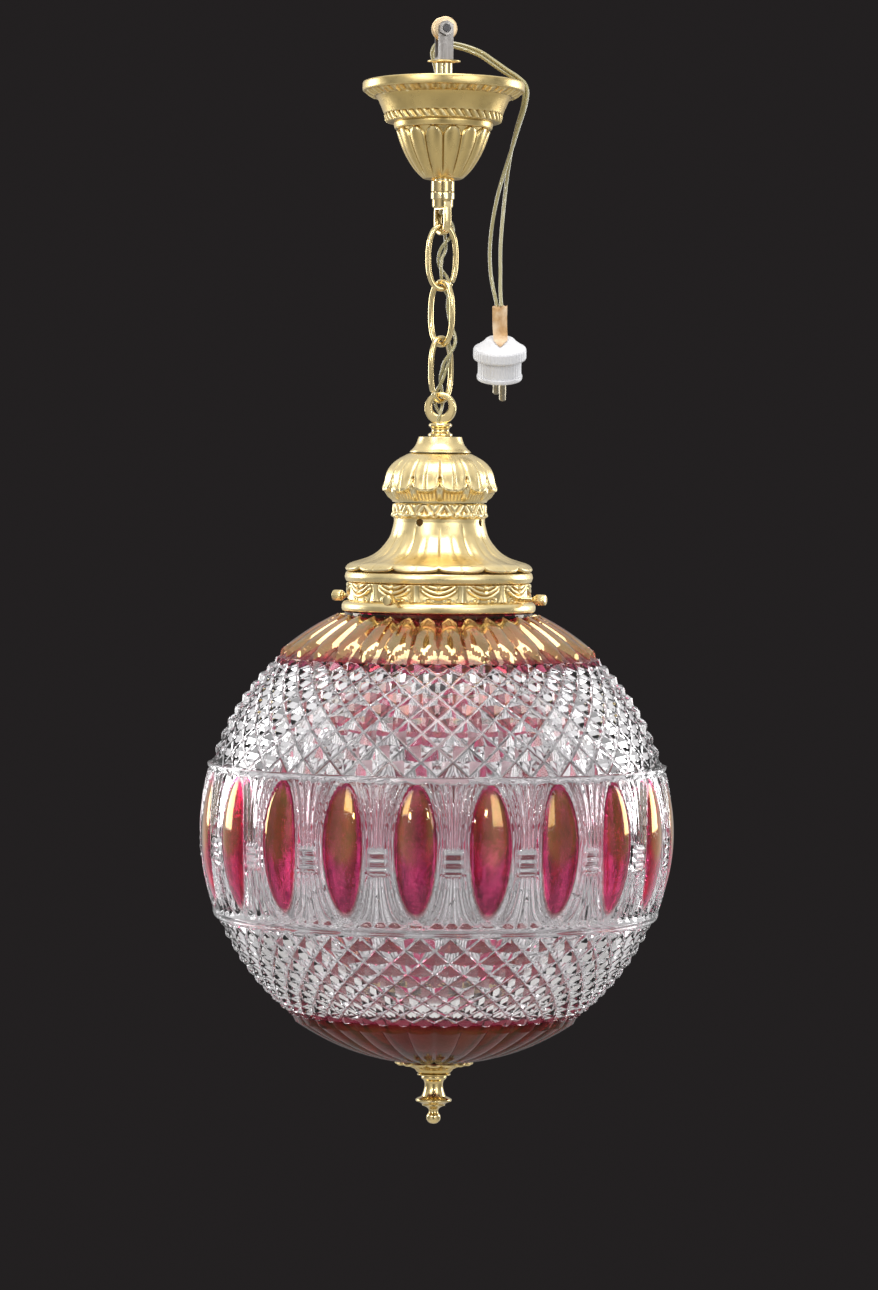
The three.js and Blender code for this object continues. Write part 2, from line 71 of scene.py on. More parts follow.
# ---------------------------------------------------------------- camera
def add_camera():
    distance = 3.873
    eye_height = -0.220
    pitch = math.radians(2.15)
    roll = math.radians(0.575)
    half_height = 383.2 * MM
    data = bpy.data.cameras.new("camera")
    data.sensor_fit = "VERTICAL"
    data.sensor_height = 24
    data.angle = 2 * math.atan(half_height / distance)
    camera = bpy.data.objects.new("camera", data)
    camera.location = (0.0005, -distance, eye_height)
    turn = Matrix.Rotation(math.pi / 2 - pitch, 4, "X") @ Matrix.Rotation(roll, 4, "Z")
    camera.rotation_euler = turn.to_euler()
    put(camera)
    bpy.context.scene.camera = camera


# ---------------------------------------------------------------- mesh helpers
def link(obj, body, replaced=()):
    put(obj)
    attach(obj, body)
    if replaced:
        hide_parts(*replaced)
    return obj


def shade(mesh, crease, weld=False, soft=None):
    """Turns all faces outward and shades them smooth, except across edges sharper than the crease, in
    degrees. Faces of the soft material number stay smooth among themselves."""
    work = bmesh.new()
    work.from_mesh(mesh)
    if weld:
        bmesh.ops.remove_doubles(work, verts=work.verts, dist=1e-7)
    bmesh.ops.recalc_face_normals(work, faces=work.faces)
    limit = math.radians(crease)
    for face in work.faces:
        face.smooth = True
    for edge in work.edges:
        flat = len(edge.link_faces) == 2 and edge.calc_face_angle(0) < limit
        edge.smooth = flat or all(face.material_index == soft for face in edge.link_faces)
    work.to_mesh(mesh)
    work.free()


def mesh_object(name, vertices, faces, material, crease=35.0):
    """A mesh piece from millimetres."""
    mesh = bpy.data.meshes.new(name)
    mesh.from_pydata([Vector(v) * MM for v in vertices], [], faces)
    mesh.materials.append(material)
    shade(mesh, crease, weld=True)
    return bpy.data.objects.new(name, mesh)


def spline(points, steps=6):
    """Points along a smooth curve through the given ones."""
    p = np.array([points[0], *points, points[-1]], float)
    out = []
    for i in range(1, len(p) - 2):
        for t in np.linspace(0, 1, steps, endpoint=False):
            a, b, c, d = p[i - 1 : i + 3]
            out.append(0.5 * (2 * b + (c - a) * t + (2 * a - 5 * b + 4 * c - d) * t**2
                              + (3 * b - a - 3 * c + d) * t**3))
    return [tuple(v) for v in out] + [tuple(p[-1])]


def profile(first, *runs, steps=6):
    """Smooth runs of (radius, height) that meet at corners: each run starts where the last one ended."""
    out = spline(first, steps) if len(first) > 2 else list(first)
    for run in runs:
        points = [out[-1], *run]
        out += (spline(points, steps) if len(points) > 2 else points)[1:]
    return out


def revolve(points, sides=96, shape=None, closed=True, plain=()):
    """Vertices and faces of a turned body. shape(angle, r, z) may move its points, but not the plain
    ones, which follow them."""
    vertices, faces, rings = [], [], []
    for r, z, move in [(*p, shape) for p in points] + [(*p, None) for p in plain]:
        if r < 1e-6:
            rings.append([len(vertices)])
            vertices.append((0, 0, z))
            continue
        rings.append(list(range(len(vertices), len(vertices) + sides)))
        for k in range(sides):
            angle = FULL * k / sides
            rr, zz = move(angle, r, z) if move else (r, z)
            vertices.append((rr * math.sin(angle), -rr * math.cos(angle), zz))
    pairs = list(zip(rings, rings[1:]))
    if closed and len(rings[0]) > 1:
        pairs.append((rings[-1], rings[0]))
    for low, high in pairs:
        faces += zipper(low, high)
    return vertices, faces


def zipper(a, b):
    """Faces between two rings, whose counts may differ."""
    if len(a) == 1 and len(b) == 1:
        return []
    if len(a) == 1 or len(b) == 1:
        ring, point = (b, a[0]) if len(a) == 1 else (a, b[0])
        return [(point, ring[k], ring[(k + 1) % len(ring)]) for k in range(len(ring))]
    if len(a) == len(b):
        n = len(a)
        return [(a[k], a[(k + 1) % n], b[(k + 1) % n], b[k]) for k in range(n)]
    faces, i, j = [], 0, 0
    while i < len(a) or j < len(b):
        if j >= len(b) or (i < len(a) and (i + 1) / len(a) <= (j + 1) / len(b)):
            faces.append((a[i % len(a)], a[(i + 1) % len(a)], b[j % len(b)]))
            i += 1
        else:
            faces.append((a[i % len(a)], b[(j + 1) % len(b)], b[j % len(b)]))
            j += 1
    return faces


def lift(points, height):
    return [(r, z + height) for r, z in points]


def turned(name, node, body, material, runs, sides=96, shape=None, steps=6, crease=35.0):
    """A turned piece that replaces a CAD node; heights are counted from the node's top."""
    top = top_of(node)
    vertices, faces = revolve(lift(profile(*runs, steps=steps), top), sides, shape)
    return link(mesh_object(name, vertices, faces, material, crease), body, [node])


def step(value, low, high):
    t = min(max((value - low) / (high - low), 0.0), 1.0)
    return t * t * (3 - 2 * t)


def repeat(angle, count, offset=0.0):
    """Place within a repeat round the axis, -0.5 to 0.5, with 0 at its middle."""
    return (angle * count / FULL - offset + 0.5) % 1.0 - 0.5


# ---------------------------------------------------------------- materials
class Nodes:
    """A short way to write the node tree of a new material, or of a new world."""

    def __init__(self, name, store=bpy.data.materials, shader="Principled BSDF",
                 output="Material Output"):
        self.made = store.new(name)
        self.made.use_nodes = True
        self.tree = self.made.node_tree
        self.shader = self.tree.nodes[shader]
        self.output = self.tree.nodes[output]

    def add(self, kind, values=(), **properties):
        node = self.tree.nodes.new(kind)
        for key, value in properties.items():
            setattr(node, key, value)
        for key, value in dict(values).items():
            if isinstance(value, bpy.types.NodeSocket):
                self.tree.links.new(value, node.inputs[key])
            else:
                node.inputs[key].default_value = value
        return node

    def place(self):
        return self.add("ShaderNodeTexCoord").outputs["Object"]

    def noise(self, scale, detail=3.0, stretch=(1, 1, 1), roughness=0.55):
        spot = self.add("ShaderNodeMapping", {"Vector": self.place(), "Scale": stretch})
        values = {"Vector": spot.outputs[0], "Scale": scale, "Detail": detail, "Roughness": roughness}
        return self.add("ShaderNodeTexNoise", values).outputs["Fac"]

    def ramp(self, factor, stops):
        node = self.add("ShaderNodeValToRGB", {"Fac": factor})
        elements = node.color_ramp.elements
        while len(elements) < len(stops):
            elements.new(0.5)
        for element, (place, colour) in zip(elements, stops):
            element.position = place
            element.color = (*colour, 1) if isinstance(colour, tuple) else (colour, colour, colour, 1)
        return node.outputs["Color"]

    def mix(self, factor, a, b, blend="MIX"):
        values = {"Factor": factor, "A": a, "B": b}
        return self.add("ShaderNodeMix", values, data_type="RGBA", blend_type=blend).outputs["Result"]

    def combine(self, operation, *numbers):
        return self.add("ShaderNodeMath", enumerate(numbers), operation=operation).outputs[0]

    def show_mix(self, factor, first, second):
        """Mixes two shaders into the output."""
        values = {"Fac": factor, 1: first.outputs[0], 2: second.outputs[0]}
        node = self.add("ShaderNodeMixShader", values)
        self.tree.links.new(node.outputs[0], self.output.inputs["Surface"])

    def bump(self, height, distance, strength=1.0):
        values = {"Height": height, "Distance": distance * MM, "Strength": strength}
        return self.add("ShaderNodeBump", values).outputs[0]

    def set(self, **values):
        names = {"color": "Base Color", "metal": "Metallic", "rough": "Roughness", "ior": "IOR",
                 "clear": "Transmission Weight", "normal": "Normal", "coat": "Coat Weight",
                 "coat_rough": "Coat Roughness", "sheen": "Sheen Weight"}
        for key, value in values.items():
            socket = self.shader.inputs[names[key]]
            if isinstance(value, bpy.types.NodeSocket):
                self.tree.links.new(value, socket)
            else:
                socket.default_value = value


def brass(name, painted_shade_tone, body, edge, rough=(0.2, 0.34), grain=0.05):
    """Lacquered gold brass: painted shade makes it deeper and warmer in the recesses, a painted highlight
    makes it paler on the edges.
    """
    n = Nodes(name)
    shape = n.add("ShaderNodeNewGeometry").outputs["Pointiness"]
    # Painted shade in the hollows and painted highlight on the edges, both read from the surface's
    # pointiness.
    colour = n.ramp(shape, [(0.42, painted_shade_tone), (0.495, body), (0.56, edge)])
    cloud = n.ramp(n.noise(60, 4), [(0.3, 0.86), (0.7, 1.0)])
    polish = n.ramp(n.noise(240, 5), [(0.25, rough[0]), (0.75, rough[1])])
    n.set(color=n.mix(1.0, colour, cloud, "MULTIPLY"), metal=1.0, rough=polish,
          normal=n.bump(n.noise(1400, 3), grain, 0.5))
    return n.made


def steel(name, dark, light):
    n = Nodes(name)
    brushed = n.noise(300, 4, (1, 1, 0.1))
    n.set(color=n.ramp(brushed, [(0.3, dark), (0.7, light)]), metal=1.0,
          rough=n.ramp(n.noise(500, 4), [(0.3, 0.3), (0.7, 0.5)]), normal=n.bump(brushed, 0.05, 0.4))
    return n.made


def moulded(name, dark, light, rough, grain=0.03):
    n = Nodes(name)
    n.set(color=n.ramp(n.noise(90, 5), [(0.3, dark), (0.7, light)]), coat=0.15, coat_rough=0.2,
          rough=n.ramp(n.noise(700, 3), [(0.3, rough * 0.85), (0.7, rough * 1.15)]),
          normal=n.bump(n.noise(1800, 2), grain, 0.4))
    return n.made


def clear_glass():
    n = Nodes("clear_glass")
    n.set(color=n.ramp(n.noise(25, 3), [(0.3, (0.955, 0.935, 0.955)), (0.7, (0.985, 0.975, 0.985))]),
          clear=1.0, ior=1.47, rough=n.ramp(n.noise(180, 3), [(0.35, 0.015), (0.75, 0.05)]),
          normal=n.bump(n.noise(120, 2), 0.12, 0.4))
    return n.made


def stained_glass(name, ruby, lustre, gold_share, ior=1.47, patch_and_sparkle_scale=45):
    """Ruby-stained glass under a gold lustre. The "stain" attribute says how much there is of both: none
    under 0.5, ruby alone up to 0.56, and from there the gold thickens until 0.68. ruby and lustre are
    pairs of tones, gold_share is how much the gold covers, seen straight on and at a glancing angle."""
    n = Nodes(name)
    stain = n.add("ShaderNodeAttribute", attribute_name="stain").outputs["Fac"]
    edge = n.ramp(stain, [(0.49, 0.0), (0.51, 1.0)])
    # Ruby mottled at this scale: random tone on the lustre and foot, painted sparkle (refracted
    # highlights) on the ovals.
    deep = n.ramp(n.noise(patch_and_sparkle_scale, 5, (1, 1, 0.6)), [(0.3, ruby[0]), (0.62, ruby[1])])
    mottle = n.combine("MULTIPLY", edge, n.noise(300, 2))
    n.set(color=n.mix(edge, (0.97, 0.955, 0.97, 1), deep), clear=1.0, ior=ior, rough=0.02,
          normal=n.bump(mottle, 0.3, 0.6))
    gold_tone = n.ramp(n.noise(30, 4), [(0.3, lustre[0]), (0.7, lustre[1])])
    values = {"Metallic": 1.0, "Roughness": 0.07, "Base Color": gold_tone}
    gold = n.add("ShaderNodeBsdfPrincipled", values)
    graze = n.add("ShaderNodeLayerWeight", {"Blend": 0.35}).outputs["Facing"]
    share = n.ramp(graze, [(0.0, gold_share[0]), (0.8, gold_share[1])])
    thick = n.ramp(stain, [(0.56, 0.0), (0.68, 1.0)])
    n.show_mix(n.combine("MULTIPLY", share, thick), n.shader, gold)
    return n.made


def opal_glass():
    n = Nodes("opal_glass")
    n.set(color=n.ramp(n.noise(60, 3), [(0.3, (0.86, 0.8, 0.8)), (0.7, (0.95, 0.9, 0.9))]),
          rough=n.ramp(n.noise(300, 2), [(0.3, 0.22), (0.7, 0.32)]), coat=0.4)
    return n.made


def flex_sheath():
    """Clear yellowed sheath over twisted strands, which show as faint slanted bands."""
    n = Nodes("clear_flex")
    wave = n.add("ShaderNodeTexWave", {"Vector": n.place(), "Scale": 520.0, "Distortion": 1.0,
                                       "Detail": 1.0}, bands_direction="DIAGONAL").outputs["Fac"]
    n.set(color=n.ramp(wave, [(0.2, (0.25, 0.215, 0.085)), (0.8, (0.4, 0.36, 0.18))]),
          rough=0.14, coat=1.0, coat_rough=0.05, normal=n.bump(wave, 0.015, 0.2))
    return n.made


def paper():
    n = Nodes("tan_paper")
    fibre = n.noise(420, 6, (1, 1, 0.35))
    worn = n.ramp(n.noise(75, 5), [(0.5, 0.0), (0.72, 0.8)])
    tone = n.ramp(fibre, [(0.3, (0.36, 0.19, 0.075)), (0.7, (0.56, 0.36, 0.17))])
    n.set(color=n.mix(worn, tone, (0.72, 0.58, 0.42, 1)), rough=0.85, sheen=0.2,
          normal=n.bump(fibre, 0.15, 0.7))
    return n.made


SATIN = brass("satin_brass", (0.27, 0.13, 0.025), (0.66, 0.48, 0.18), (0.9, 0.76, 0.42), (0.24, 0.38))
# A paler copy of the satin brass for the cap and fitter: painted light, standing in for the stronger
# light that falls on them.
LIT_BRASS = brass("lit_brass", (0.42, 0.22, 0.04), (0.84, 0.66, 0.32), (0.97, 0.86, 0.54), (0.25, 0.38))
POLISHED = brass("polished_brass", (0.4, 0.22, 0.05), (0.74, 0.56, 0.25), (0.86, 0.72, 0.4), (0.11, 0.2),
                 grain=0.01)
STEEL = steel("zinc_steel", (0.2, 0.185, 0.175), (0.44, 0.42, 0.4))
BOLT = steel("dark_steel", (0.05, 0.047, 0.05), (0.14, 0.135, 0.14))
PIN = steel("pin_nickel", (0.24, 0.21, 0.15), (0.42, 0.38, 0.29))
ROLLER = brass("roller_metal", (0.4, 0.24, 0.1), (0.66, 0.47, 0.26), (0.78, 0.62, 0.42), (0.35, 0.5))
CLEAR = clear_glass()
# The ovals' small bright ruby mottles are painted sparkle, standing in for refracted highlights.
CRANBERRY = stained_glass("cranberry_ovals", ((0.2, 0.0, 0.012), (0.85, 0.006, 0.07)),
                          ((0.33, 0.17, 0.035), (0.54, 0.34, 0.1)), (0.3, 0.85), patch_and_sparkle_scale=130)
LUSTRE = stained_glass("gold_lustre", ((0.22, 0.003, 0.015), (0.55, 0.015, 0.07)),
                       ((0.5, 0.3, 0.12), (0.82, 0.64, 0.32)), (0.55, 0.42), 1.3)
AMBER = stained_glass("amber_foot", ((0.06, 0.0, 0.003), (0.26, 0.004, 0.014)),
                      ((0.09, 0.03, 0.013), (0.24, 0.115, 0.045)), (0.5, 0.12), 1.13)
OPAL = opal_glass()
PHENOLIC = moulded("phenolic", (0.012, 0.01, 0.01), (0.03, 0.025, 0.022), 0.45)
WHITE = moulded("white_plastic", (0.6, 0.6, 0.62), (0.68, 0.68, 0.7), 0.38)
FLEX = flex_sheath()
PAPER = paper()


# ---------------------------------------------------------------- cords
def curve_points(points, count):
    """Evenly spaced points on a smooth curve through a route."""
    fine = np.array(spline(points, 24))
    gone = np.concatenate([[0], np.cumsum(np.linalg.norm(np.diff(fine, axis=0), axis=1))])
    spots = np.linspace(0, gone[-1], count)
    return np.stack([np.interp(spots, gone, fine[:, k]) for k in range(3)], 1)


def frames_along(path):
    """A direction across the path at each point, carried along without twist."""
    tangents = np.gradient(path, axis=0)
    tangents /= np.linalg.norm(tangents, axis=1)[:, None]
    side = np.cross(tangents[0], (0.3, 1, 0.2))
    sides = []
    for tangent in tangents:
        side = side - tangent * np.dot(side, tangent)
        side /= np.linalg.norm(side)
        sides.append(side)
    sides = np.array(sides)
    return sides, np.cross(tangents, sides)


def tube(path, sizes, sides, base=0):
    """Vertices and faces of a round tube along a path; base is the number of its first vertex."""
    across, up = frames_along(path)
    vertices, rings = [], []
    for k, centre in enumerate(path):
        rings.append(list(range(base + k * sides, base + (k + 1) * sides)))
        for s in range(sides):
            phase = FULL * s / sides
            away = math.cos(phase) * across[k] + math.sin(phase) * up[k]
            vertices.append(tuple(centre + sizes[k] * away))
    faces = [face for low, high in zip(rings, rings[1:]) for face in zipper(low, high)]
    return vertices, faces + [tuple(rings[0]), tuple(reversed(rings[-1]))]


def strands(name, path, radius, apart, sides=10, start_angle=0.0):
    """Two round strands that wind once round a path, as one mesh. apart(t) is half their distance."""
    across, up = frames_along(path)
    share = np.linspace(0, 1, len(path))
    gap = np.array([apart(t) for t in share])
    vertices, faces = [], []
    for strand in (0, 1):
        angle = start_angle + FULL * share + math.pi * strand
        centre = path + (np.cos(angle) * gap)[:, None] * across + (np.sin(angle) * gap)[:, None] * up
        more_vertices, more_faces = tube(centre, np.full(len(path), radius), sides, len(vertices))
        vertices += more_vertices
        faces += more_faces
    return mesh_object(name, vertices, faces, FLEX, 60)


FREE_ROUTE = [
    (-3.6, 6.4, -50), (-4.4, 9.8, -47), (-4, 11.6, -40), (-3.6, 12, -28), (-5.4, 11.6, -19),
    (-6.4, 11.3, -13.6), (-4.4, 11.4, -9.4), (0, 11.6, -8), (6, 11.8, -9), (14, 12.4, -11),
    (22, 13.2, -14.2), (30, 15, -19.4), (37, 17, -24), (43, 19.2, -27.6), (47.6, 21, -31.6),
    (49, 21.6, -37), (47.6, 21.4, -46), (44.6, 21.2, -56), (40.4, 21, -72), (36, 20.8, -92),
    (33, 20.4, -112), (31.6, 19.6, -130), (32.2, 18.2, -147), (33.8, 16.4, -160), (34.6, 15.6, -164.4),
]


def strands_apart(t):
    """Half the distance between the free flex's two strands: it opens below the canopy."""
    return 1.15 + 2.0 * step(t, 0.5, 0.72) * (1 - 0.55 * step(t, 0.9, 1.0))


def free_cord(plug_pieces):
    """The flat twin flex from the pipe, over the canopy's rim, down to the plug."""
    path = curve_points(FREE_ROUTE, 150)
    flex = strands("free_flex", path, 1.12, strands_apart, 12, start_angle=2.2)
    put(flex)
    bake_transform(flex)
    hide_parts("cord_inside", "cord_drop")


# where, the two bodies, the height where their wires cross, how far apart the strands swing, route
CHAIN_ROUTES = [
    ("loop", "hanger", "link_1", -120.5, 2.5,
     [(0, 0, -106.9), (0.4, 0.8, -110), (3, 4.6, -114.6), (4, 6.6, -120), (1.6, 5.4, -128),
      (-1.2, 4.3, -135.3)]),
    ("link_1", "link_1", "link_2", -153.9, 2.0,
     [(-1.2, 4.3, -135.3), (-0.9, 4.3, -141), (1.6, 5, -148), (3, 5.2, -153), (4.4, 4.6, -160),
      (5.2, 3.4, -168.6)]),
    ("link_2", "link_2", "link_3", -187.0, 2.0,
     [(5.2, 3.4, -168.6), (6, 2, -177), (6.4, 0.2, -185.4), (5.4, -0.4, -192), (3, 0, -198),
      (1.6, 0.7, -202.5)]),
    ("link_3", "link_3", "lamp", -220.4, 2.5,
     [(1.6, 0.7, -202.5), (0, 3, -209), (-1.2, 5.4, -216), (-1, 5, -221), (0, 1.6, -226.6), (0, 0, -231),
      (0, 0, -239.5)]),
]


def chain_cords():
    """The twisted flex that the chain carries: one piece for each joint it bends at."""
    bend, close = 7, 1.05     # half the height over which it bends; half the strands' least distance
    for where, above, below, crossing, wide, route in CHAIN_ROUTES:
        path = curve_points(route, 40)
        flex = strands(f"flex_at_{where}", path, 1.0,
                       lambda t, w=wide: close + (w - close) * math.sin(math.pi * t))
        put(flex)
        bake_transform(flex)
        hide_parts(f"cord_at_{where}")


# ---------------------------------------------------------------- plug and paper tab
PLUG_CENTRE = Vector((35, 20, -191.5))
PLUG_TILT = 0.3


def on_plug(obj):
    """Moves a piece made in the plug's own frame to where the plug hangs."""
    place = Matrix.Translation(PLUG_CENTRE * MM) @ Matrix.Rotation(PLUG_TILT, 4, "X")
    obj.data.transform(place)
    return obj


def plug():
    def knurled(angle, r, z):
        bite = 0.35 * step(r, 15.1, 15.6) * abs(math.cos(24 * angle))
        return r - bite, z

    grip_runs = profile([(0, -3.6), (14.8, -3.6)], [(15.6, -3.3), (16, -2.6)],
                        [(16, 0.6), (15.9, 2.4)], [(15.4, 3.2), (14.2, 3.8)],
                        [(10.4, 6.6), (8.2, 8.8), (6.6, 9.3)], [(0, 9.4)], steps=4)
    body_runs = profile([(0, -16.4), (12.2, -16.4)], [(13.3, -16), (13.6, -15.2)],
                        [(13.6, -13.8), (13.1, -13.3)], [(13.0, -8), (13.2, -3.9)],
                        [(0, -3.9)], steps=4)

    def ribbed(angle, r, z):
        on_side = step(z, -13.6, -13) * step(r, 12.6, 13)
        return r - 0.22 * on_side * (0.5 + 0.5 * math.cos(40 * angle)), z

    pieces = []
    for name, node, points, shape in (("plug_top", "plug_grip", grip_runs, knurled),
                                      ("plug_base", "plug_body", body_runs, ribbed)):
        vertices, faces = revolve(points, 240, shape)
        obj = on_plug(mesh_object(name, vertices, faces, WHITE, 50))
        pieces.append(link(obj, "canopy", [node]))
    pieces.append(paper_tab())
    for node in ("plug_pin_front", "plug_pin_back"):
        dress(node, PIN, 0.2)
        pieces.append(nodes[node])
    return pieces


def paper_tab():
    """Kraft paper folded round the flex: torn at the top, its pointed end lying on the plug's dome."""
    columns, rows = 14, 22
    route = [(-10.9, 7.2), (-8.4, 9.5), (-5, 10.9), (-2.4, 13.4), (-0.2, 19.5), (1.4, 28.8)]     # (y, z)
    lie = np.array(spline(route, 8))
    front, back = [], []
    for j in range(rows + 1):
        v = j / rows
        place = v * (len(lie) - 1)
        y0, z0 = (np.interp(place, range(len(lie)), lie[:, k]) for k in (0, 1))
        wide = 4.3 * min(1.0, 0.12 + (v / 0.3) ** 0.8)
        for i in range(columns + 1):
            u = 2 * i / columns - 1
            torn = 1.3 * noise.noise(Vector((u * 3.1, 0.2, 1.7))) - 0.9 if v == 1 else 0
            x = wide * u * (0.94 + 0.1 * v) + 0.3 * math.sin(5 * v)
            y = y0 + 0.5 * u * u + 0.3 * noise.noise(Vector((u * 2, v * 5, 0.3)))
            front.append((x, y, z0 + torn))
            back.append((x * 0.985, y + 0.5 + 4.4 * step(v, 0.4, 0.6) * (1 - u * u * 0.4), z0 + torn))
    vertices = front + back
    size, across = len(front), columns + 1
    faces = []
    for j in range(rows):
        for i in range(columns):
            a = j * across + i
            b, c, d = a + 1, a + across + 1, a + across
            faces += [(a, b, c, d), (a + size, d + size, c + size, b + size)]
    rim = list(range(across)) + [j * across + columns for j in range(1, rows + 1)]
    rim += [rows * across + i for i in range(columns - 1, -1, -1)]
    rim += [j * across for j in range(rows - 1, 0, -1)]
    faces += [(a, a + size, b + size, b) for a, b in zip(rim, rim[1:] + rim[:1])]
    obj = on_plug(mesh_object("paper_tab", vertices, faces, PAPER, 50))
    return link(obj, "canopy", ["cord_wrap"])


def dress(node, material, bevel=0.0):
    """Gives a CAD node its material, and rounds its edges a little."""
    obj = nodes[node]
    obj.data.materials.clear()
    obj.data.materials.append(material)
    if bevel:
        rounded = obj.modifiers.new("edges", "BEVEL")
        rounded.width = bevel * MM
        rounded.segments = 2
        rounded.limit_method = "ANGLE"


# ---------------------------------------------------------------- hanger
def hanger():
    dress("hanger_strap", STEEL, 0.3)
    dress("roller_nut", STEEL, 0.2)
    dress("hanger_rivet", STEEL)
    dress("roller_bolt", BOLT, 0.15)
    yaw = 0.17
    spool = profile([(2.5, -4.9), (6.3, -4.9)], [(6.9, -4.7), (7.1, -4.2)], [(7.1, -3)],
                    [(5.4, -1.7), (4.9, 0), (5.4, 1.7), (7.1, 3)], [(7.1, 4.2)],
                    [(6.9, 4.7), (6.3, 4.9)], [(2.5, 4.9)])
    vertices, faces = revolve(spool, 72)
    roller = mesh_object("roller", vertices, faces, ROLLER)
    roller.data.transform(Matrix.Rotation(yaw, 4, "Z") @ Matrix.Rotation(math.pi / 2, 4, "X"))
    link(roller, "roller", ["hanger_roller"])
    turned("flange_disc", "hanger_flange", "hanger", SATIN,
           [[(3.3, 0), (9.3, 0)], [(9.75, -0.2), (9.8, -0.6)], [(9.7, -1.0), (8, -1.2)],
            [(6, -1.5), (3.3, -1.5)]])
    pipe_length = top_of("canopy_pipe") - bottom_of("canopy_pipe")
    turned("pipe", "canopy_pipe", "hanger", POLISHED,
           [[(3.4, 0), (5, 0)], [(5, -pipe_length)], [(3.4, -pipe_length)]], 64)
    turned("rest_collar", "canopy_collar", "collar", POLISHED,
           [[(5.3, 0), (6.5, 0)], [(6.8, -0.2), (6.9, -0.5)], [(6.9, -5.6), (6.9, -6.1)],
            [(6.7, -6.4), (6.4, -6.5)], [(5.3, -6.5)]], 72)


# ---------------------------------------------------------------- canopy
def canopy():
    lobes, teeth, leaves = 14, 42, 28
    sides = lobes * 24
    base = -89.2
    tilt = 0.07
    outer = profile([(7, 0), (9.5, 0.1), (12.2, 0.9), (16.3, 5.4), (20.5, 11.7), (23.6, 17.8),
                     (25.9, 23.8), (27.6, 29.4)], [(28.6, 29.8), (29.0, 30.5)],
                    [(29.4, 32.4), (29.4, 33.4)], [(32.6, 33.7), (33.9, 34.2)],
                    [(34.3, 36), (34.5, 38.2)], [(35.3, 38.7)],
                    [(37, 43), (38.9, 47.2), (40.2, 49)], [(42.4, 49.6), (46.4, 51.8)],
                    [(47.7, 52.2), (48.1, 53)], [(48.1, 56.2)],
                    [(47.9, 57.2), (47.2, 57.6)], [(46.3, 57.5), (46, 57)],
                    steps=5)
    inner = [(46, 54), (41, 52), (38.2, 48.6), (33.8, 39.4), (32.6, 36), (28, 35), (26.6, 31),
             (24.4, 24), (22, 18), (18.8, 12), (14.6, 6.6), (11, 2.4), (7, 1.4)]

    def shape(angle, r, z):
        lobe = repeat(angle, lobes, 0.5)
        arch = 29.6 - 5.2 * (2 * abs(lobe)) ** 2.6
        inside = 1 - step(z, arch - 1.1, arch + 0.4)
        low = step(z, 0.3, 7)
        swell = math.sqrt(max(0.0, 1 - (2 * lobe) ** 2 * 0.98))
        if z < 29.7:
            r += low * (inside * (swell * 2.0 - 1.9) - (1 - inside) * 1.9) + 0.35 * low * inside
        tooth = step(z, 33.6, 34.4) * (1 - step(z, 38.0, 38.8))
        if tooth > 0:
            wave = math.cos(teeth * angle + 0.9 * (z - 36))
            r += 1.0 * tooth * max(-0.5, min(0.6, 1.4 * wave))
        leaf = step(r, 40.4, 42) * (1 - step(r, 46, 47)) * (1 - step(z, 51.9, 52.6))
        if leaf > 0:
            place = repeat(angle, leaves)
            rise = math.cos(FULL * place) * 0.75 + 0.35 * math.cos(3 * FULL * place)
            z -= leaf * rise * 0.9
        return r, z

    vertices, faces = revolve(outer, sides, shape, plain=inner)
    obj = mesh_object("canopy_bell", vertices, faces, SATIN, 42)
    obj.data.transform(Matrix.Translation((0, 0, base * MM)) @ Matrix.Rotation(-tilt, 4, "X"))
    link(obj, "canopy", ["canopy"])


# ---------------------------------------------------------------- chain
def outline_plate(name, outline, holes, thickness, edge, material):
    """A flat casting with rounded edges, standing in the XZ plane."""
    curve = bpy.data.curves.new(name, "CURVE")
    curve.dimensions = "2D"
    curve.fill_mode = "BOTH"
    curve.extrude = (thickness / 2 - edge) * MM
    curve.bevel_depth = edge * MM
    curve.bevel_resolution = 4
    curve.offset = -edge * MM
    for points in [outline, *holes]:
        line = curve.splines.new("POLY")
        line.points.add(len(points) - 1)
        for spot, (x, z) in zip(line.points, points):
            spot.co = (x * MM, z * MM, 0, 1)
        line.use_cyclic_u = True
    temporary = bpy.data.objects.new(name + "_curve", curve)
    put(temporary)
    graph = bpy.context.evaluated_depsgraph_get()
    mesh = bpy.data.meshes.new_from_object(temporary.evaluated_get(graph))
    bpy.data.objects.remove(temporary)
    mesh.transform(Matrix.Rotation(math.pi / 2, 4, "X"))
    vertices = [tuple(v.co / MM) for v in mesh.vertices]
    faces = [tuple(p.vertices) for p in mesh.polygons]
    return mesh_object(name, vertices, faces, material, 40)


def arc_points(centre, radius, start, end, count):
    angles = np.linspace(start, end, count)
    return [(radius * math.cos(a), centre + radius * math.sin(a)) for a in angles]


def join(name, pieces, material):
    """Several meshes as one piece."""
    vertices, faces = [], []
    for piece in pieces:
        base = len(vertices)
        vertices += [tuple(v.co / MM) for v in piece.data.vertices]
        faces += [tuple(base + i for i in p.vertices) for p in piece.data.polygons]
        bpy.data.objects.remove(piece)
    return mesh_object(name, vertices, faces, material, 40)


def casting(name, outline, hole, thickness, neck_profile, yaw, body, node):
    """A flat loop or eye with a turned neck, as one piece."""
    plate = outline_plate(name + "_plate", outline, [hole], thickness, 0.9, POLISHED)
    neck = mesh_object(name + "_neck", *revolve(neck_profile, 72), POLISHED)
    whole = join(name, [plate, neck], POLISHED)
    whole.data.transform(Matrix.Rotation(yaw, 4, "Z"))
    link(whole, body, [node])


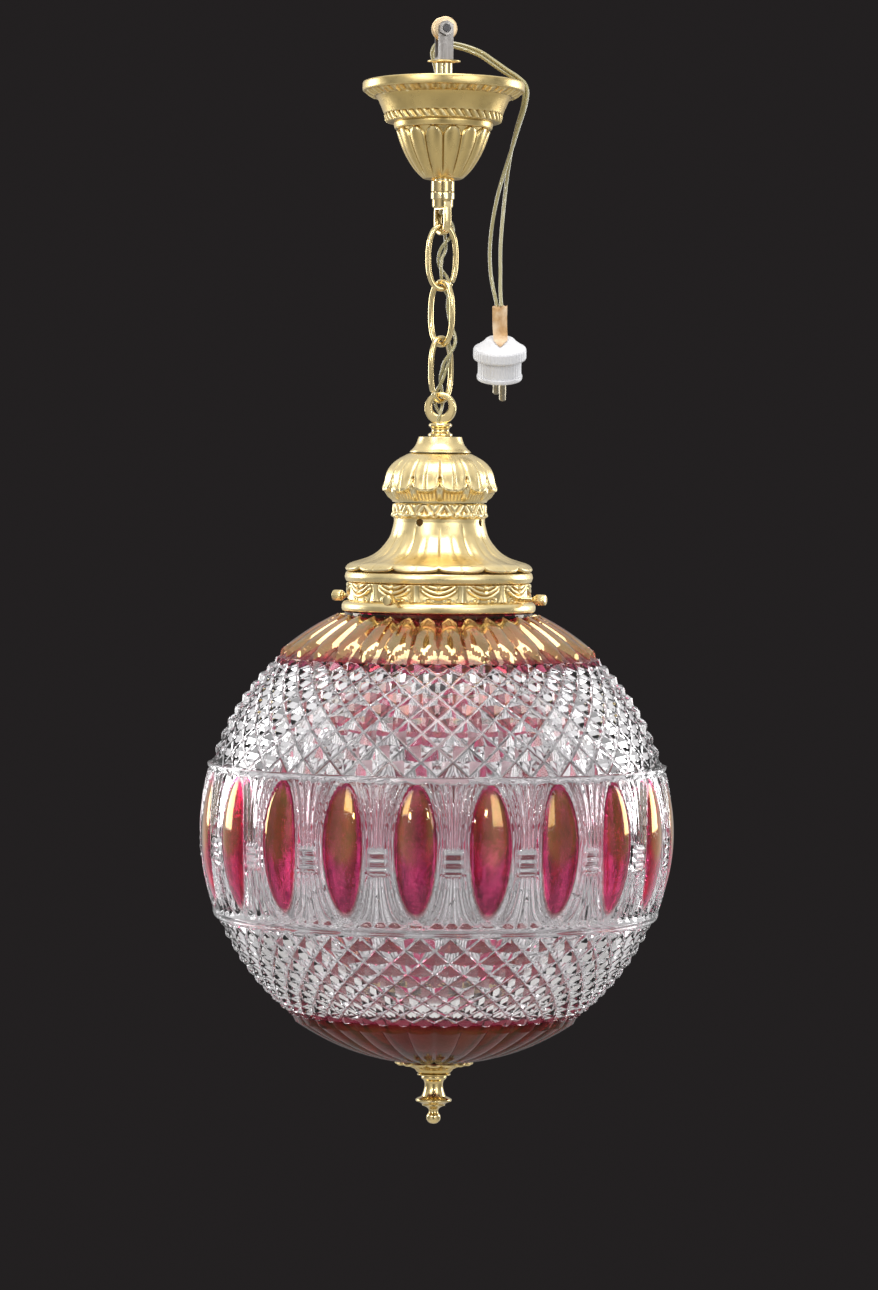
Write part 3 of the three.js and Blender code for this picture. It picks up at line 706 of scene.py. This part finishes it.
def loop_under_canopy():
    width, window, middle, window_top = 8.0, 5.2, -114.2, -107.4
    outline = arc_points(middle, width, math.pi, FULL, 40)
    outline += [(width, -108.5), (7.7, -105.8), (6.9, -103.2), (5.6, -101.5)]
    outline += [(-x, z) for x, z in reversed(outline[40:])]
    hole = arc_points(middle, window, math.pi, FULL, 32) + [(window, window_top), (-window, window_top)]
    neck_profile = profile([(0, -106.2), (5, -106.2)], [(5.9, -105.7), (6.2, -104.8)],
                           [(6.2, -101.4)], [(6.4, -100.9), (7, -100.7)],
                           [(7, -97.4)], [(6.9, -96.9), (6.5, -96.8)],
                           [(5.1, -96.8)], [(5.1, -98.6)], [(0, -98.6)])
    casting("cast_loop", outline, hole, 4.6, neck_profile, -1.13, "hanger", "canopy_loop")


def chain():
    wire_radius, length, width, split_gap, squareness = 1.65, 37.2, 16.9, 0.6, 0.84
    sizes = np.full(150, wire_radius)
    sizes[[0, -1]] *= 0.8     # the cut ends are rounded a little
    # top, turn about the chain, place of the split round the link
    links = [(-116.7, 0.26, 0.86), (-149.8, -0.72, 0.30), (-183.2, 0.8, 0.62)]
    for k, (top, turn, split) in enumerate(links, 1):
        opened = split_gap / (length + width)
        share = np.linspace(0, 1, 161)
        angle = FULL * (split + opened / 2 + share * (1 - opened))
        x = width / 2 * np.sign(np.cos(angle)) * np.abs(np.cos(angle)) ** squareness
        z = length / 2 * np.sign(np.sin(angle)) * np.abs(np.sin(angle)) ** squareness
        path = curve_points([tuple(p) for p in np.stack([x, 0 * x, z], 1)[::4]], len(sizes))
        wire = mesh_object(f"oval_link_{k}", *tube(path, sizes, 20), POLISHED, 50)
        place = Matrix.Translation((0, 0, (top - length / 2) * MM))
        wire.data.transform(place @ Matrix.Rotation(turn, 4, "Z"))
        link(wire, f"link_{k}", [f"chain_link_{k}"])


# ---------------------------------------------------------------- cap
QUARTERS = [-0.45 + k * math.pi / 2 for k in range(4)]     # where the vents and thumb screws are


def cap_eye():
    hole_top, outer, inner, drop = -218.0, 9.7, 5.3, 6.7
    ring_outline = arc_points(hole_top - drop, outer, 0, FULL - 0.1, 64)
    hole = arc_points(hole_top - inner, inner, 0, FULL - 0.1, 48)
    base = -241.4
    neck_profile = profile([(0, base), (6.9, base)], [(7.2, base + 0.2), (7.3, base + 0.8)],
                           [(7.2, base + 1.4), (6.6, base + 1.8)],
                           [(5.5, base + 2.6), (5.2, base + 3.8), (5.6, base + 5)],
                           [(6.8, base + 6), (6.9, base + 6.9), (6.2, base + 7.8)],
                           [(0, base + 8)])
    casting("cast_eye", ring_outline, hole, 3.0, neck_profile, -0.3, "lamp", "cap_loop")


def cap_collar():
    turned("collar_dome", "cap_collar", "lamp", LIT_BRASS,
           [[(5.3, 0), (12.4, 0)], [(12.8, -0.1), (12.9, -0.5)],
            [(13.7, -3), (14.6, -5), (16.3, -7.2), (17.4, -8.1)], [(17.5, -8.4)],
            [(18, -8.7), (18, -9.2)], [(15.6, -9.2)],
            [(13.2, -4.7), (11.6, -1.3)], [(5.3, -1.3)]], 120)


def crown():
    """Twelve petals with a crease down each, over a feathered cone."""
    petals = 12
    outside = profile([(17.6, -0.3), (20, -1.2), (24.4, -3.5), (28, -6.1), (30.8, -9.4), (32.4, -13),
                       (33.3, -16), (34.1, -18.2), (34.6, -19.4)], [(34.4, -20.6), (33.2, -21.3)],
                      [(31.2, -23.4), (29.2, -26.4), (28, -29.2)], steps=6)
    inside = [(26.4, -28.9), (27.4, -26), (28.6, -22.4), (28.8, -19), (28.2, -15), (27, -11),
              (24.8, -7.8), (22, -5.2), (19, -2.9), (5.3, -2.2), (5.3, 0), (17.2, 0)]
    hidden = set(inside)

    def shape(angle, r, z):
        h = z - top
        if (r, h) in hidden:
            return r, z
        u = abs(2 * repeat(angle, petals, 0.5))
        grow = step(-h, 0.2, 7)
        under = step(-h, 20.1, 21.5)
        swell = math.sqrt(max(0.0, 1 - (u * 0.985) ** 4))
        groove = 2.0 * (1 - swell) * grow * (1 - under)
        crease = 0.5 * math.exp(-((u / 0.07) ** 2)) * grow * (1 - under)
        rib = 0.3 * math.cos(u * math.pi * 2) * grow * (1 - under) * (1 - step(-h, 15, 19))
        r -= groove + crease - rib
        tip = step(-h, 12, 19) * (1 - step(-h, 21.3, 24))
        z -= tip * (1.7 * (1 - u**2.4) - 3.4 * u**4)
        r -= 2.2 * tip * u**4
        dart = under * (1 - step(-h, 26, 28.6))
        r += dart * (1.6 * max(0.0, 1 - (1 - u) / 0.25) + 0.6 * abs(math.cos(u * 11)))
        return r, z

    top = top_of("cap_crown")
    vertices, faces = revolve(lift(outside + inside, top), petals * 28, shape)
    link(mesh_object("petal_crown", vertices, faces, LIT_BRASS, 45), "lamp", ["cap_crown"])


def bell():
    """The flared skirt: a leafy neck, four vents, twelve shallow flutes and a scalloped hem."""
    flutes = 12
    low = bottom_of("cap_bell")
    outside = profile([(26.4, 40.6), (26.8, 37.5), (26.9, 33.5), (27.0, 31.2), (27.0, 29.3)],
                      [(27.9, 25.7), (29.5, 20.9), (32.6, 16.2), (37, 11.5), (42.4, 8.2),
                       (48.4, 6.1), (53.4, 4.6), (55.6, 3.2)],
                      [(56.1, 2.2), (55.6, 1.2)], [(54, 0.7), (52.4, 0.9)], steps=7)
    inside = [(49, 3.2), (45.6, 4.8), (40.4, 7.2), (36, 10.2), (31.6, 14.8), (28.2, 20.2), (26.4, 25.4),
              (25.7, 29.3), (25.6, 33), (25.4, 39.2), (5.3, 39.2), (5.3, 40.7), (26, 40.7)]

    def shape(angle, r, z):
        h = z - low
        u = 2 * repeat(angle, flutes, 0.5)
        grow = step(-h, -26, -8)
        swell = math.sqrt(max(0.0, 1 - abs(u * 0.985) ** 3))
        crease = 0.35 * grow * math.exp(-((u / 0.06) ** 2))
        r -= (0.5 + 2.1 * grow) * (1 - swell) * step(-h, -30, -24) + crease
        r -= 0.5 * grow * (0.5 + 0.5 * math.cos(abs(u) * math.pi * 3)) * (1 - step(-h, -8, -4))
        hem = step(-h, -5.4, -3.4)
        z -= hem * (0.9 * (1 - abs(u) ** 2.5) - 0.9 * abs(u) ** 6)
        leaf = step(h, 31.2, 32.6) * (1 - step(h, 39.6, 40.4))
        if leaf > 0:
            p = abs(2 * repeat(angle, 14, 0.25))
            bead = math.exp(-(((h - 33.2 - 1.4 * p * p) / 1.1) ** 2)) * (1 - p**3)
            vein = abs(math.cos(math.pi * (1.5 * p + 0.16 * (h - 34))))
            r += leaf * (2.0 * bead + 1.5 * vein * (1 - bead) * (1 - 0.5 * p))
        return r, z

    vertices, faces = revolve(lift(outside, low), flutes * 28, shape, plain=lift(inside, low))
    obj = mesh_object("flared_bell", vertices, faces, LIT_BRASS, 45)
    link(obj, "lamp", ["cap_bell"])
    drill_vents(obj, height=-292.2, radius=2.35, near=18, far=34)


def drill_vents(obj, height, radius, near, far):
    """Four round holes outward from the axis, between two distances from it."""
    for k, angle in enumerate(QUARTERS):
        vertices, faces = revolve([(0, near), (radius, near), (radius, far), (0, far)], 32)
        tool = mesh_object(f"drill_{k}", vertices, faces, LIT_BRASS)
        turn = Matrix.Rotation(angle, 4, "Z") @ Matrix.Rotation(math.pi / 2, 4, "X")
        tool.data.transform(Matrix.Translation((0, 0, height * MM)) @ turn)
        put(tool)
        cut = obj.modifiers.new("drill", "BOOLEAN")
        cut.operation = "DIFFERENCE"
        cut.object = tool
        cut.solver = "EXACT"
        graph = bpy.context.evaluated_depsgraph_get()
        mesh = bpy.data.meshes.new_from_object(obj.evaluated_get(graph))
        obj.modifiers.clear()
        obj.data = mesh
        bpy.data.objects.remove(tool)


# ---------------------------------------------------------------- fitter
def palmette(u, v):
    """Height of a palmette in its cell, u across and v up, both -1 to 1: leaves over two scrolls."""
    x, y = abs(u), (v + 1) / 2
    nest = y - 0.5 * x * x
    outline = step(1.0 - x, 0.0, 0.2) * step(nest, 0.16, 0.26)
    leaves = abs(math.cos(math.pi * (3.9 * nest - 0.1))) ** 0.7
    split = 1 - 0.6 * math.exp(-((x / 0.08) ** 2)) * step(y, 0.45, 0.6)
    away = math.hypot((x - 0.52) * 1.1, (y - 0.13) * 1.6)
    scroll = math.exp(-((away / 0.26) ** 2)) * (0.6 + 0.4 * math.cos(away * 26))
    return outline * (0.2 + 0.75 * leaves) * split + 0.8 * scroll


def fitter():
    low = bottom_of("fitter_ring")
    band, rows = 12, 36
    outside = profile([(52.3, 0), (56, 0)], [(57.2, 0.5), (57.6, 1.9)],
                      [(57.5, 3.8), (56.6, 5.4)], [(55.2, 6.0), (53.5, 6.3)], steps=5)
    outside += [(53.3, 6.3 + 10.9 * k / rows) for k in range(1, rows + 1)]
    outside += profile([(53.6, 17.4), (54.9, 17.8), (55.4, 18.8)], [(55.9, 20.4), (55.5, 22.2)],
                       [(55, 23.2), (54, 23.5)], [(40, 23.5)], steps=5)
    outside += [(40, 22.1), (52.3, 22.1)]

    def shape(angle, r, z):
        h = z - low
        if not (6.3 < h < 17.3 and r < 54):
            return r, z
        u, v = repeat(angle, band), (h - 11.8) / 5.5
        fade = step(1 - abs(v), 0.0, 0.12)
        from_stem = abs(abs(u) - 0.5) / (0.75 + 0.5 * v * v)
        stem = step(0.5 - from_stem, 0.38, 0.46) * (0.6 + 0.5 * v * v)
        groove = 0.5 + 0.5 * math.cos((abs(u) - 0.5) * 60)
        leaf = palmette(u / 0.41, v) if abs(u) < 0.41 else 0
        return r + fade * (1.9 * leaf + 1.3 * stem * (0.55 + 0.45 * groove)), z

    vertices, faces = revolve(lift(outside, low), band * 44, shape)
    link(mesh_object("fitter_band", vertices, faces, LIT_BRASS, 50), "lamp", ["fitter_ring"])
    dress("fitter_bar", STEEL, 0.3)
    for node in ("fitter_nut", "cap_nut", "finial_nut"):
        dress(node, STEEL, 0.3)
    for k, angle in enumerate(QUARTERS):
        thumb_screw(k, angle)


def thumb_screw(k, angle):
    reach, height = 50.0, -337.2
    shank = [(1.5 - 0.22 * (i % 2), reach + 0.4 * i) for i in range(30)]
    head = profile([(1.5, reach + 12.4), (2.3, reach + 12.9)], [(2.4, reach + 13.8)],
                   [(3.0, reach + 14), (3.2, reach + 14.4)],
                   [(3.2, reach + 19)], [(3, reach + 19.7),
                   (2.4, reach + 20)], [(0, reach + 20)], steps=4)

    def knurl(a, r, z):
        return (r - 0.16 * (0.5 + 0.5 * math.cos(28 * a)), z) if r > 3.1 else (r, z)

    vertices, faces = revolve([(0, reach)] + shank + head, 56, knurl)
    obj = mesh_object(f"screw_{k + 1}_knurled", vertices, faces, POLISHED, 45)
    turn = Matrix.Rotation(angle, 4, "Z") @ Matrix.Rotation(math.pi / 2, 4, "X")
    obj.data.transform(Matrix.Translation((0, 0, height * MM)) @ turn)
    link(obj, f"screw_{k + 1}", [f"thumb_screw_{k + 1}"])


# ---------------------------------------------------------------- lampholder and bulb
def lampholder():
    turned("holder_cap", "socket_cap", "lamp", SATIN,
           [[(5.3, 0), (8, -0.5), (14, -3.3), (17.4, -8)], [(17.6, -14.7)], [(16.6, -14.7)],
            [(16.6, -9.1), (13.2, -4.3), (5.3, -1.3)]], 72)
    shell_length = top_of("socket_shell") - bottom_of("socket_shell")
    turned("holder_shell", "socket_shell", "lamp", SATIN,
           [[(16.5, 0), (17.4, 0)], [(17.4, -12)], [(17.0, -12.6), (17.4, -13.2)],
            [(17.4, 0.6 - shell_length)], [(16.6, -shell_length)],
            [(14.2, -shell_length)], [(14.2, -5.7)],
            [(16.5, -5.7)]], 72)
    dress("socket_insulator", PHENOLIC, 0.3)
    dress("bulb_base", STEEL)
    dress("centre_nipple", SATIN)
    dress("cord_in_pipe", FLEX)
    dress("cord_in_cap", FLEX)


def bulb():
    wall, opening = 1.2, math.pi - 0.6
    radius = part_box("bulb_glass")[1].x / MM
    top, centre = top_of("bulb_glass"), bottom_of("bulb_glass") + radius
    outer = [(radius * math.sin(a), centre - radius * math.cos(a)) for a in np.linspace(0, opening, 40)]
    neck = [(12.3, top - 4), (12.0, top - 2), (12.0, top), (11, top), (11, top - 3)]
    radius -= wall
    inner = [(radius * math.sin(a), centre - radius * math.cos(a)) for a in np.linspace(opening, 0, 30)]
    vertices, faces = revolve(outer + neck + inner, 72, closed=False)
    link(mesh_object("opal_bulb", vertices, faces, OPAL), "bulb", ["bulb_glass"])


# ---------------------------------------------------------------- finial
def finial():
    def leafy(angle, r, z):
        if r < 9.5:
            return r, z
        u = abs(2 * repeat(angle, 16))
        wave = step(r, 10, 15)
        return r - wave * 0.9 * u**3 * (r / 23), z - wave * (0.9 * (1 - u * u) - 0.5)

    turned("finial_leaf_cup", "finial_cup", "lamp", SATIN,
           [[(3.2, -7.6), (9.2, -7.6)], [(10.4, -6.6), (11.6, -5)],
            [(15.6, -3.0), (19.6, -2.2), (22.6, -2)], [(23.3, -1.4), (23.3, -0.6)],
            [(23, 0)], [(14, -1.6), (3.2, -2.3)]], 192, leafy)
    turned("finial_turning", "finial_knob", "finial", POLISHED,
           [[(0, 0), (9.6, 0)], [(10, -0.3), (9.8, -0.8)], [(7.4, -1.3)],
            [(7.6, -2.2), (7.2, -3.1)], [(5.9, -4.4), (5.4, -6.5), (5.7, -9), (6.4, -11.4),
             (7.2, -13.4)], [(9.6, -14.5), (10.7, -15.4), (10.6, -16.4)],
            [(8.4, -17.4), (6.9, -18.2)], [(6.8, -19)],
            [(4, -20.4), (2.8, -21.8), (2.9, -23.4)],
            [(4, -25), (4.2, -26.6), (3.7, -28.2), (2.2, -29.6), (0, -30.1)]], 96)
    dress("finial_stud", SATIN)
    dress("finial_washer", SATIN)


# ---------------------------------------------------------------- glass globe
RELIEF_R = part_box("glass_globe")[1].x / MM          # tips of the relief
BASE_R = RELIEF_R - 2.9                             # the plain sphere between them
INNER_R = 134.9
FOOT_HOLE = 7.5                                     # radius of the opening over the finial
GLOBE_Z = bottom_of("glass_globe") + math.sqrt(BASE_R**2 - 6.5**2)
LATTICE = 44                                        # diamonds round a band
GLASSES = (CLEAR, LUSTRE, CRANBERRY, AMBER)
PLAIN, GOLD, OVAL, FOOT = range(4)                  # the glasses' material numbers
RUBY = 0.57                                         # the stain of bare ruby
OVALS, OVAL_TURN = 20, -4.9
OVAL_MIDDLE, OVAL_HALF_HIGH, OVAL_HALF_WIDE = -1.9, 16.4, 5.25     # degrees on the sphere
TIE_MIDDLE, TIE_HALF_HIGH, FLUTES = -2.5, 3.0, 5
RINGS = [(16.8, 2.0, 2.9), (-20.9, 1.5, 2.3)]       # middle and half width in degrees, height
RIBS = 32                                           # panels of the shoulder and ribs of the bottom


def on_sphere(radius, elevation, angle):
    """A point of the globe; elevation is counted from its equator, angle from the front."""
    flat = radius * math.cos(elevation)
    return (flat * math.sin(angle), -flat * math.cos(angle), GLOBE_Z + radius * math.sin(elevation))


def sphere_rows(first, last, count, columns, height, spread=lambda t: t):
    """Rings of points and stains between two elevations; height(elevation, angle) gives both."""
    rings = []
    for elevation in np.linspace(first, last, count):
        points, stains = [], []
        for k in range(columns):
            angle = spread(k / columns) * FULL
            relief, stain = height(elevation, angle)
            points.append(on_sphere(BASE_R + relief, elevation, angle))
            stains.append(stain)
        rings.append((points, stains))
    return rings


def crowd_gaps(t, share=0.55):
    """Spreads columns so that more of them fall between the ovals than across them."""
    s = t * OVALS
    return (s + share * math.sin(FULL * s) / FULL + OVAL_TURN / 360 * OVALS) / OVALS


def mercator(elevation):
    return math.log(math.tan(math.pi / 4 + elevation / 2))


def from_mercator(value):
    return 2 * math.atan(math.exp(value)) - math.pi / 2


class Skin:
    """A closed skin made of rings stitched one to the next, each stretch with its own material."""

    def __init__(self):
        self.points, self.stains, self.faces, self.kinds = [], [], [], []
        self.first = self.last = None

    def add(self, points, stains):
        start = len(self.points)
        self.points += points
        self.stains += stains
        return list(range(start, len(self.points)))

    def stitch(self, ring, kind):
        if self.last is None:
            self.first = ring
        else:
            self.cover(zipper(self.last, ring), kind)
        self.last = ring

    def cover(self, faces, kind):
        self.faces += faces
        self.kinds += [kind] * len(faces)

    def rings(self, rings, kind):
        for points, stains in rings:
            self.stitch(self.add(points, stains), kind)

    def close(self, kind):
        self.cover(zipper(self.last, self.first), kind)


def diamonds(skin, high, half_rows, tip, base, groove=0.13, blunt=0.1):
    """A band of square pyramids with flat facets and narrow flat grooves, from elevation high down.
    Its lattice has the same angles everywhere. Vertices are kept by their place on the lattice."""
    start, pitch = mercator(high), math.pi / LATTICE
    columns = 2 * LATTICE
    kept = {}

    def vertex(a, b, relief):
        key = (round(a % columns, 4) % columns, round(b, 4))
        if key not in kept:
            point = on_sphere(BASE_R + relief, from_mercator(start - pitch * b), pitch * a)
            kept[key] = skin.add([point], [0.0])[0]
        return kept[key]

    def along(tip_place, corner, share, relief):
        a = corner[0] + (tip_place[0] - corner[0]) * share
        b = corner[1] + (tip_place[1] - corner[1]) * share
        return vertex(a, b, relief)

    def facet(top, left, right):
        apex = vertex(*top, tip)
        q1, q2 = (along(top, c, 1 - blunt, tip) for c in (left, right))
        p1, p2 = (along(top, c, groove, base + 0.1) for c in (left, right))
        c1, c2 = vertex(*left, base), vertex(*right, base)
        return [(apex, q1, q2), (q1, p1, p2, q2), (p1, c1, c2, p2)]

    faces = []
    for j in range(half_rows):
        for k in range(columns):
            corners = [(k, j), (k + 1, j), (k + 1, j + 1), (k, j + 1)]
            if (j + k) % 2:
                corners = corners[1:] + corners[:1]
            peak, right, other, left = corners
            faces += facet(peak, left, right) + facet(other, right, left)
    edges = [sorted((a, i) for (a, b), i in kept.items() if b == row) for row in (0, half_rows)]
    skin.stitch([i for _, i in edges[0]], PLAIN)
    skin.cover(faces, PLAIN)
    skin.last = [i for _, i in edges[1]]


def oval_field(elevation, angle):
    """Above zero inside an oval, and how far inside."""
    u = repeat(angle, OVALS, OVAL_TURN / (360 / OVALS)) * 360 / OVALS
    v = math.degrees(elevation) - OVAL_MIDDLE
    return 1 - math.hypot(u / OVAL_HALF_WIDE, v / OVAL_HALF_HIGH), u, v


def middle_relief(elevation, angle):
    """Ovals in raised rims; between them fans of flutes, tied in the middle by three short bars."""
    field, u, v = oval_field(elevation, angle)
    if field > 0:
        dome = 1 - (1 - field) ** 2
        # The gold lustre is the glass's own; its thickening toward the top of each oval is painted sheen
        # from the light above.
        gold = 0.13 + 0.87 * step(v, -5, 9)
        return -0.5 + 2.6 * math.sqrt(dome), 0.5 + 0.9 * field * gold
    rim = math.exp(-(((field + 0.14) / 0.085) ** 2))
    half_pitch = 180 / OVALS
    gap = half_pitch - abs(u)                        # degrees from the middle of the gap
    side = math.sqrt(max(0.0, 1 - (v / OVAL_HALF_HIGH) ** 2)) * OVAL_HALF_WIDE * 1.2
    room = max(half_pitch - side, 1.6)               # half the width between two ovals
    from_tie = abs(v - TIE_MIDDLE)
    if from_tie < TIE_HALF_HIGH:
        bar = abs(math.cos(from_tie / TIE_HALF_HIGH * 1.5 * math.pi)) ** 0.6
        relief = -0.6 + (0.5 + 2.0 * bar) * step(1 - gap / room, 0.02, 0.3)
    else:
        ridge = 0.5 - 0.5 * math.cos(math.pi * FLUTES * gap / room)
        reach = abs(v - OVAL_MIDDLE) - OVAL_HALF_HIGH - 0.9 - 1.0 * ridge
        relief = -0.5 + 1.8 * ridge * (1 - step(reach, -0.5, 0.5))
        relief *= step(from_tie, TIE_HALF_HIGH, TIE_HALF_HIGH + 0.8)
    return max(relief, 1.5 * rim), min(0.5 + 0.5 * field, 0.49)


def band_relief(elevation, angle):
    """The middle band between its two plain rings."""
    v = math.degrees(elevation)
    for centre, half, high in RINGS:
        away = abs(v - centre) / half
        if away < 1:
            return high * math.sqrt(1 - away**2) * 0.6 + high * 0.4 * (1 - away**4), 0.0
    return middle_relief(elevation, angle)


def shoulder_relief(elevation, angle):
    """Panels with arched tops and pointed tips, under a gold lustre."""
    t = (SHOULDER_HIGH - elevation) / (SHOULDER_HIGH - SHOULDER_LOW)
    u = abs(2 * repeat(angle, RIBS, 0.5))
    wide = 0.88 * min(1.0, math.sqrt(max(0.0, t - 0.06) / 0.12))
    if t > 0.7:
        wide = 0.88 * max(0.0, (0.97 - t) / 0.27)
    inside = step(wide - u, -0.02, 0.06)
    panel = 2.5 * math.sqrt(max(0.0, 1 - (u / max(wide, 0.05)) ** 2)) - 0.2 if u < wide else -0.2
    scallop = 0.945 + 0.04 * math.cos(math.pi * u)
    gilded = step(t, 0.0, 0.07) * (1 - step(t, scallop - 0.03, scallop)) * (0.15 + 0.85 * inside)
    stain = RUBY + 0.4 * gilded
    return panel * inside - 0.2 * (1 - inside) - 0.6 * u**6, stain


def bottom_relief(elevation, angle):
    """Ribs that grow lower toward the finial."""
    t = (BOTTOM_HIGH - elevation) / (BOTTOM_HIGH - BOTTOM_LOW)
    u = 2 * repeat(angle, RIBS, 0.5)
    ridge = math.sqrt(max(0.0, 1 - (u * 0.96) ** 2))
    rise = step(t, 0.0, 0.03) * (0.2 + 2.6 * ridge * (1 - 0.75 * t))
    return rise - 0.5, RUBY + 0.4 * step(t, 0.03, 0.1)


SHOULDER_HIGH, SHOULDER_LOW = math.acos(56.0 / BASE_R), math.acos(94.4 / BASE_R)
UPPER_HIGH, UPPER_HALF_ROWS = math.radians(46.9), 9
LOWER_HIGH, LOWER_HALF_ROWS = math.radians(-23.3), 9
LOWER_LOW = from_mercator(mercator(LOWER_HIGH) - LOWER_HALF_ROWS * math.pi / LATTICE)
BOTTOM_HIGH, BOTTOM_LOW = LOWER_LOW - math.radians(0.2), -math.acos(FOOT_HOLE / BASE_R)


def level_ring(radius, z, columns, stain=0.0):
    angles = [FULL * k / columns for k in range(columns)]
    return [(radius * math.sin(a), -radius * math.cos(a), z) for a in angles], [stain] * columns


def globe():
    """One closed pressed-glass body: neck, shoulder, diamonds, ovals, diamonds, ribbed bottom."""
    bore = 45.2
    neck = [(bore, -331.4), (49.6, -331.4), (50.6, -331.9), (50.8, -332.8), (50.4, -333.8),
            (49.5, -334.6), (49.5, -342.8), (50.6, -344.2), (54.8, -345.3), (55.9, -346.0)]
    plain = math.radians(0.25)
    upper_low = from_mercator(mercator(UPPER_HIGH) - UPPER_HALF_ROWS * math.pi / LATTICE)
    skin = Skin()
    skin.rings([level_ring(r, z, 128, RUBY) for r, z in neck], FOOT)
    skin.rings(sphere_rows(SHOULDER_HIGH, SHOULDER_LOW, 30, 384, shoulder_relief), GOLD)
    collar = sphere_rows(SHOULDER_LOW - plain, UPPER_HIGH + plain, 2, 264, lambda e, a: (-0.6, RUBY))
    skin.rings(collar, GOLD)
    diamonds(skin, UPPER_HIGH, UPPER_HALF_ROWS, 0.9, -2.3)
    middle = sphere_rows(upper_low - plain, LOWER_HIGH + plain, 72, 920, band_relief, crowd_gaps)
    skin.rings(middle, OVAL)
    diamonds(skin, LOWER_HIGH, LOWER_HALF_ROWS, 0.6, -2.0)
    skin.rings(sphere_rows(BOTTOM_HIGH, BOTTOM_LOW, 18, 384, bottom_relief), FOOT)
    low, high = -math.acos(FOOT_HOLE / INNER_R), math.acos(46.5 / INNER_R)
    for elevation in np.linspace(low, high, 40):
        radius, z = INNER_R * math.cos(elevation), GLOBE_Z + INNER_R * math.sin(elevation)
        skin.rings([level_ring(radius, z, 96)], OVAL)
    skin.rings([level_ring(bore, -346.5, 96)], PLAIN)
    skin.close(PLAIN)
    mesh = bpy.data.meshes.new("pressed_globe")
    mesh.from_pydata([Vector(v) * MM for v in skin.points], [], skin.faces)
    for material in GLASSES:
        mesh.materials.append(material)
    mesh.polygons.foreach_set("material_index", skin.kinds)
    mesh.attributes.new("stain", "FLOAT", "POINT").data.foreach_set("value", skin.stains)
    shade(mesh, 17, soft=OVAL)
    obj = bpy.data.objects.new("pressed_globe", mesh)
    link(obj, "lamp", ["glass_globe"])


# ---------------------------------------------------------------- studio
def room():
    """Charcoal for the camera. Every other ray meets a room: bright ceiling, dark walls in front and
    behind, pale ones at the sides."""
    n = Nodes("studio", bpy.data.worlds, "Background", "World Output")
    bpy.context.scene.world = n.made
    charcoal = n.add("ShaderNodeBackground", {"Color": (0.0165, 0.0145, 0.0150, 1)})
    look = n.add("ShaderNodeSeparateXYZ", {0: n.add("ShaderNodeTexCoord").outputs["Generated"]})
    side = n.combine("ABSOLUTE", look.outputs["X"])
    rise = n.combine("MULTIPLY_ADD", look.outputs["Z"], 0.5, 0.5)
    walls = n.ramp(side, [(0.1, 0.1), (0.26, 0.45), (0.55, 0.95), (0.95, 0.3)])
    levels = n.ramp(rise, [(0.1, 0.4), (0.35, 0.1), (0.62, 0.1), (0.8, 1.0)])
    n.tree.links.new(n.mix(1.0, walls, levels, "SCREEN"), n.shader.inputs["Color"])
    n.shader.inputs["Strength"].default_value = 0.9
    n.show_mix(n.add("ShaderNodeLightPath").outputs["Is Camera Ray"], n.shader, charcoal)


def floor():
    radius, height, sides = 3.6, -2.2, 96
    mesh = bpy.data.meshes.new("floor")
    corners = [(radius * math.cos(a), radius * math.sin(a), height)
               for a in np.linspace(0, FULL, sides, endpoint=False)]
    mesh.from_pydata(corners, [], [tuple(range(sides))])
    n = Nodes("pale_floor")
    tones = [(0.3, (0.47, 0.465, 0.455)), (0.7, (0.52, 0.515, 0.5))]
    n.set(color=n.ramp(n.noise(3, 4), tones), rough=0.8)
    mesh.materials.append(n.made)
    obj = bpy.data.objects.new("floor", mesh)
    put(obj)


def studio():
    room()
    floor()
    bpy.context.scene.view_settings.view_transform = "Standard"
    # name, place, size, power, colour
    lights = [
        ("key", (-1.5, -2.3, 0.9), 1.0, 20, (1.0, 0.97, 0.93)),
        ("fill", (1.7, -2.2, 0.5), 1.0, 12, (0.95, 0.97, 1.0)),
        ("top", (0.0, -0.5, 1.5), 1.4, 40, (1.0, 0.98, 0.96)),
        ("window_left", (-1.1, -3.0, 0.35), 0.16, 5, (1, 1, 1)),
        ("window_right", (0.9, -3.0, 0.45), 0.16, 5, (1, 1, 1)),
        ("rim_left", (-1.6, 0.9, -0.1), 0.7, 12, (1, 1, 1)),
        ("rim_right", (1.6, 0.9, -0.1), 0.7, 12, (1, 1, 1)),
    ]
    aim = Vector((0, 0, -0.42))
    for name, place, size, power, colour in lights:
        data = bpy.data.lights.new(name, "AREA")
        data.shape = "RECTANGLE"
        data.size, data.size_y = size, size * 1.2
        data.energy = power
        data.color = colour
        lamp = bpy.data.objects.new(name, data)
        lamp.location = place
        lamp.rotation_euler = (aim - Vector(place)).to_track_quat("-Z", "Y").to_euler()
        put(lamp)


add_camera()
free_cord(plug())
chain_cords()
hanger()
canopy()
loop_under_canopy()
chain()
cap_eye()
cap_collar()
crown()
bell()
fitter()
lampholder()
bulb()
globe()
finial()
studio()
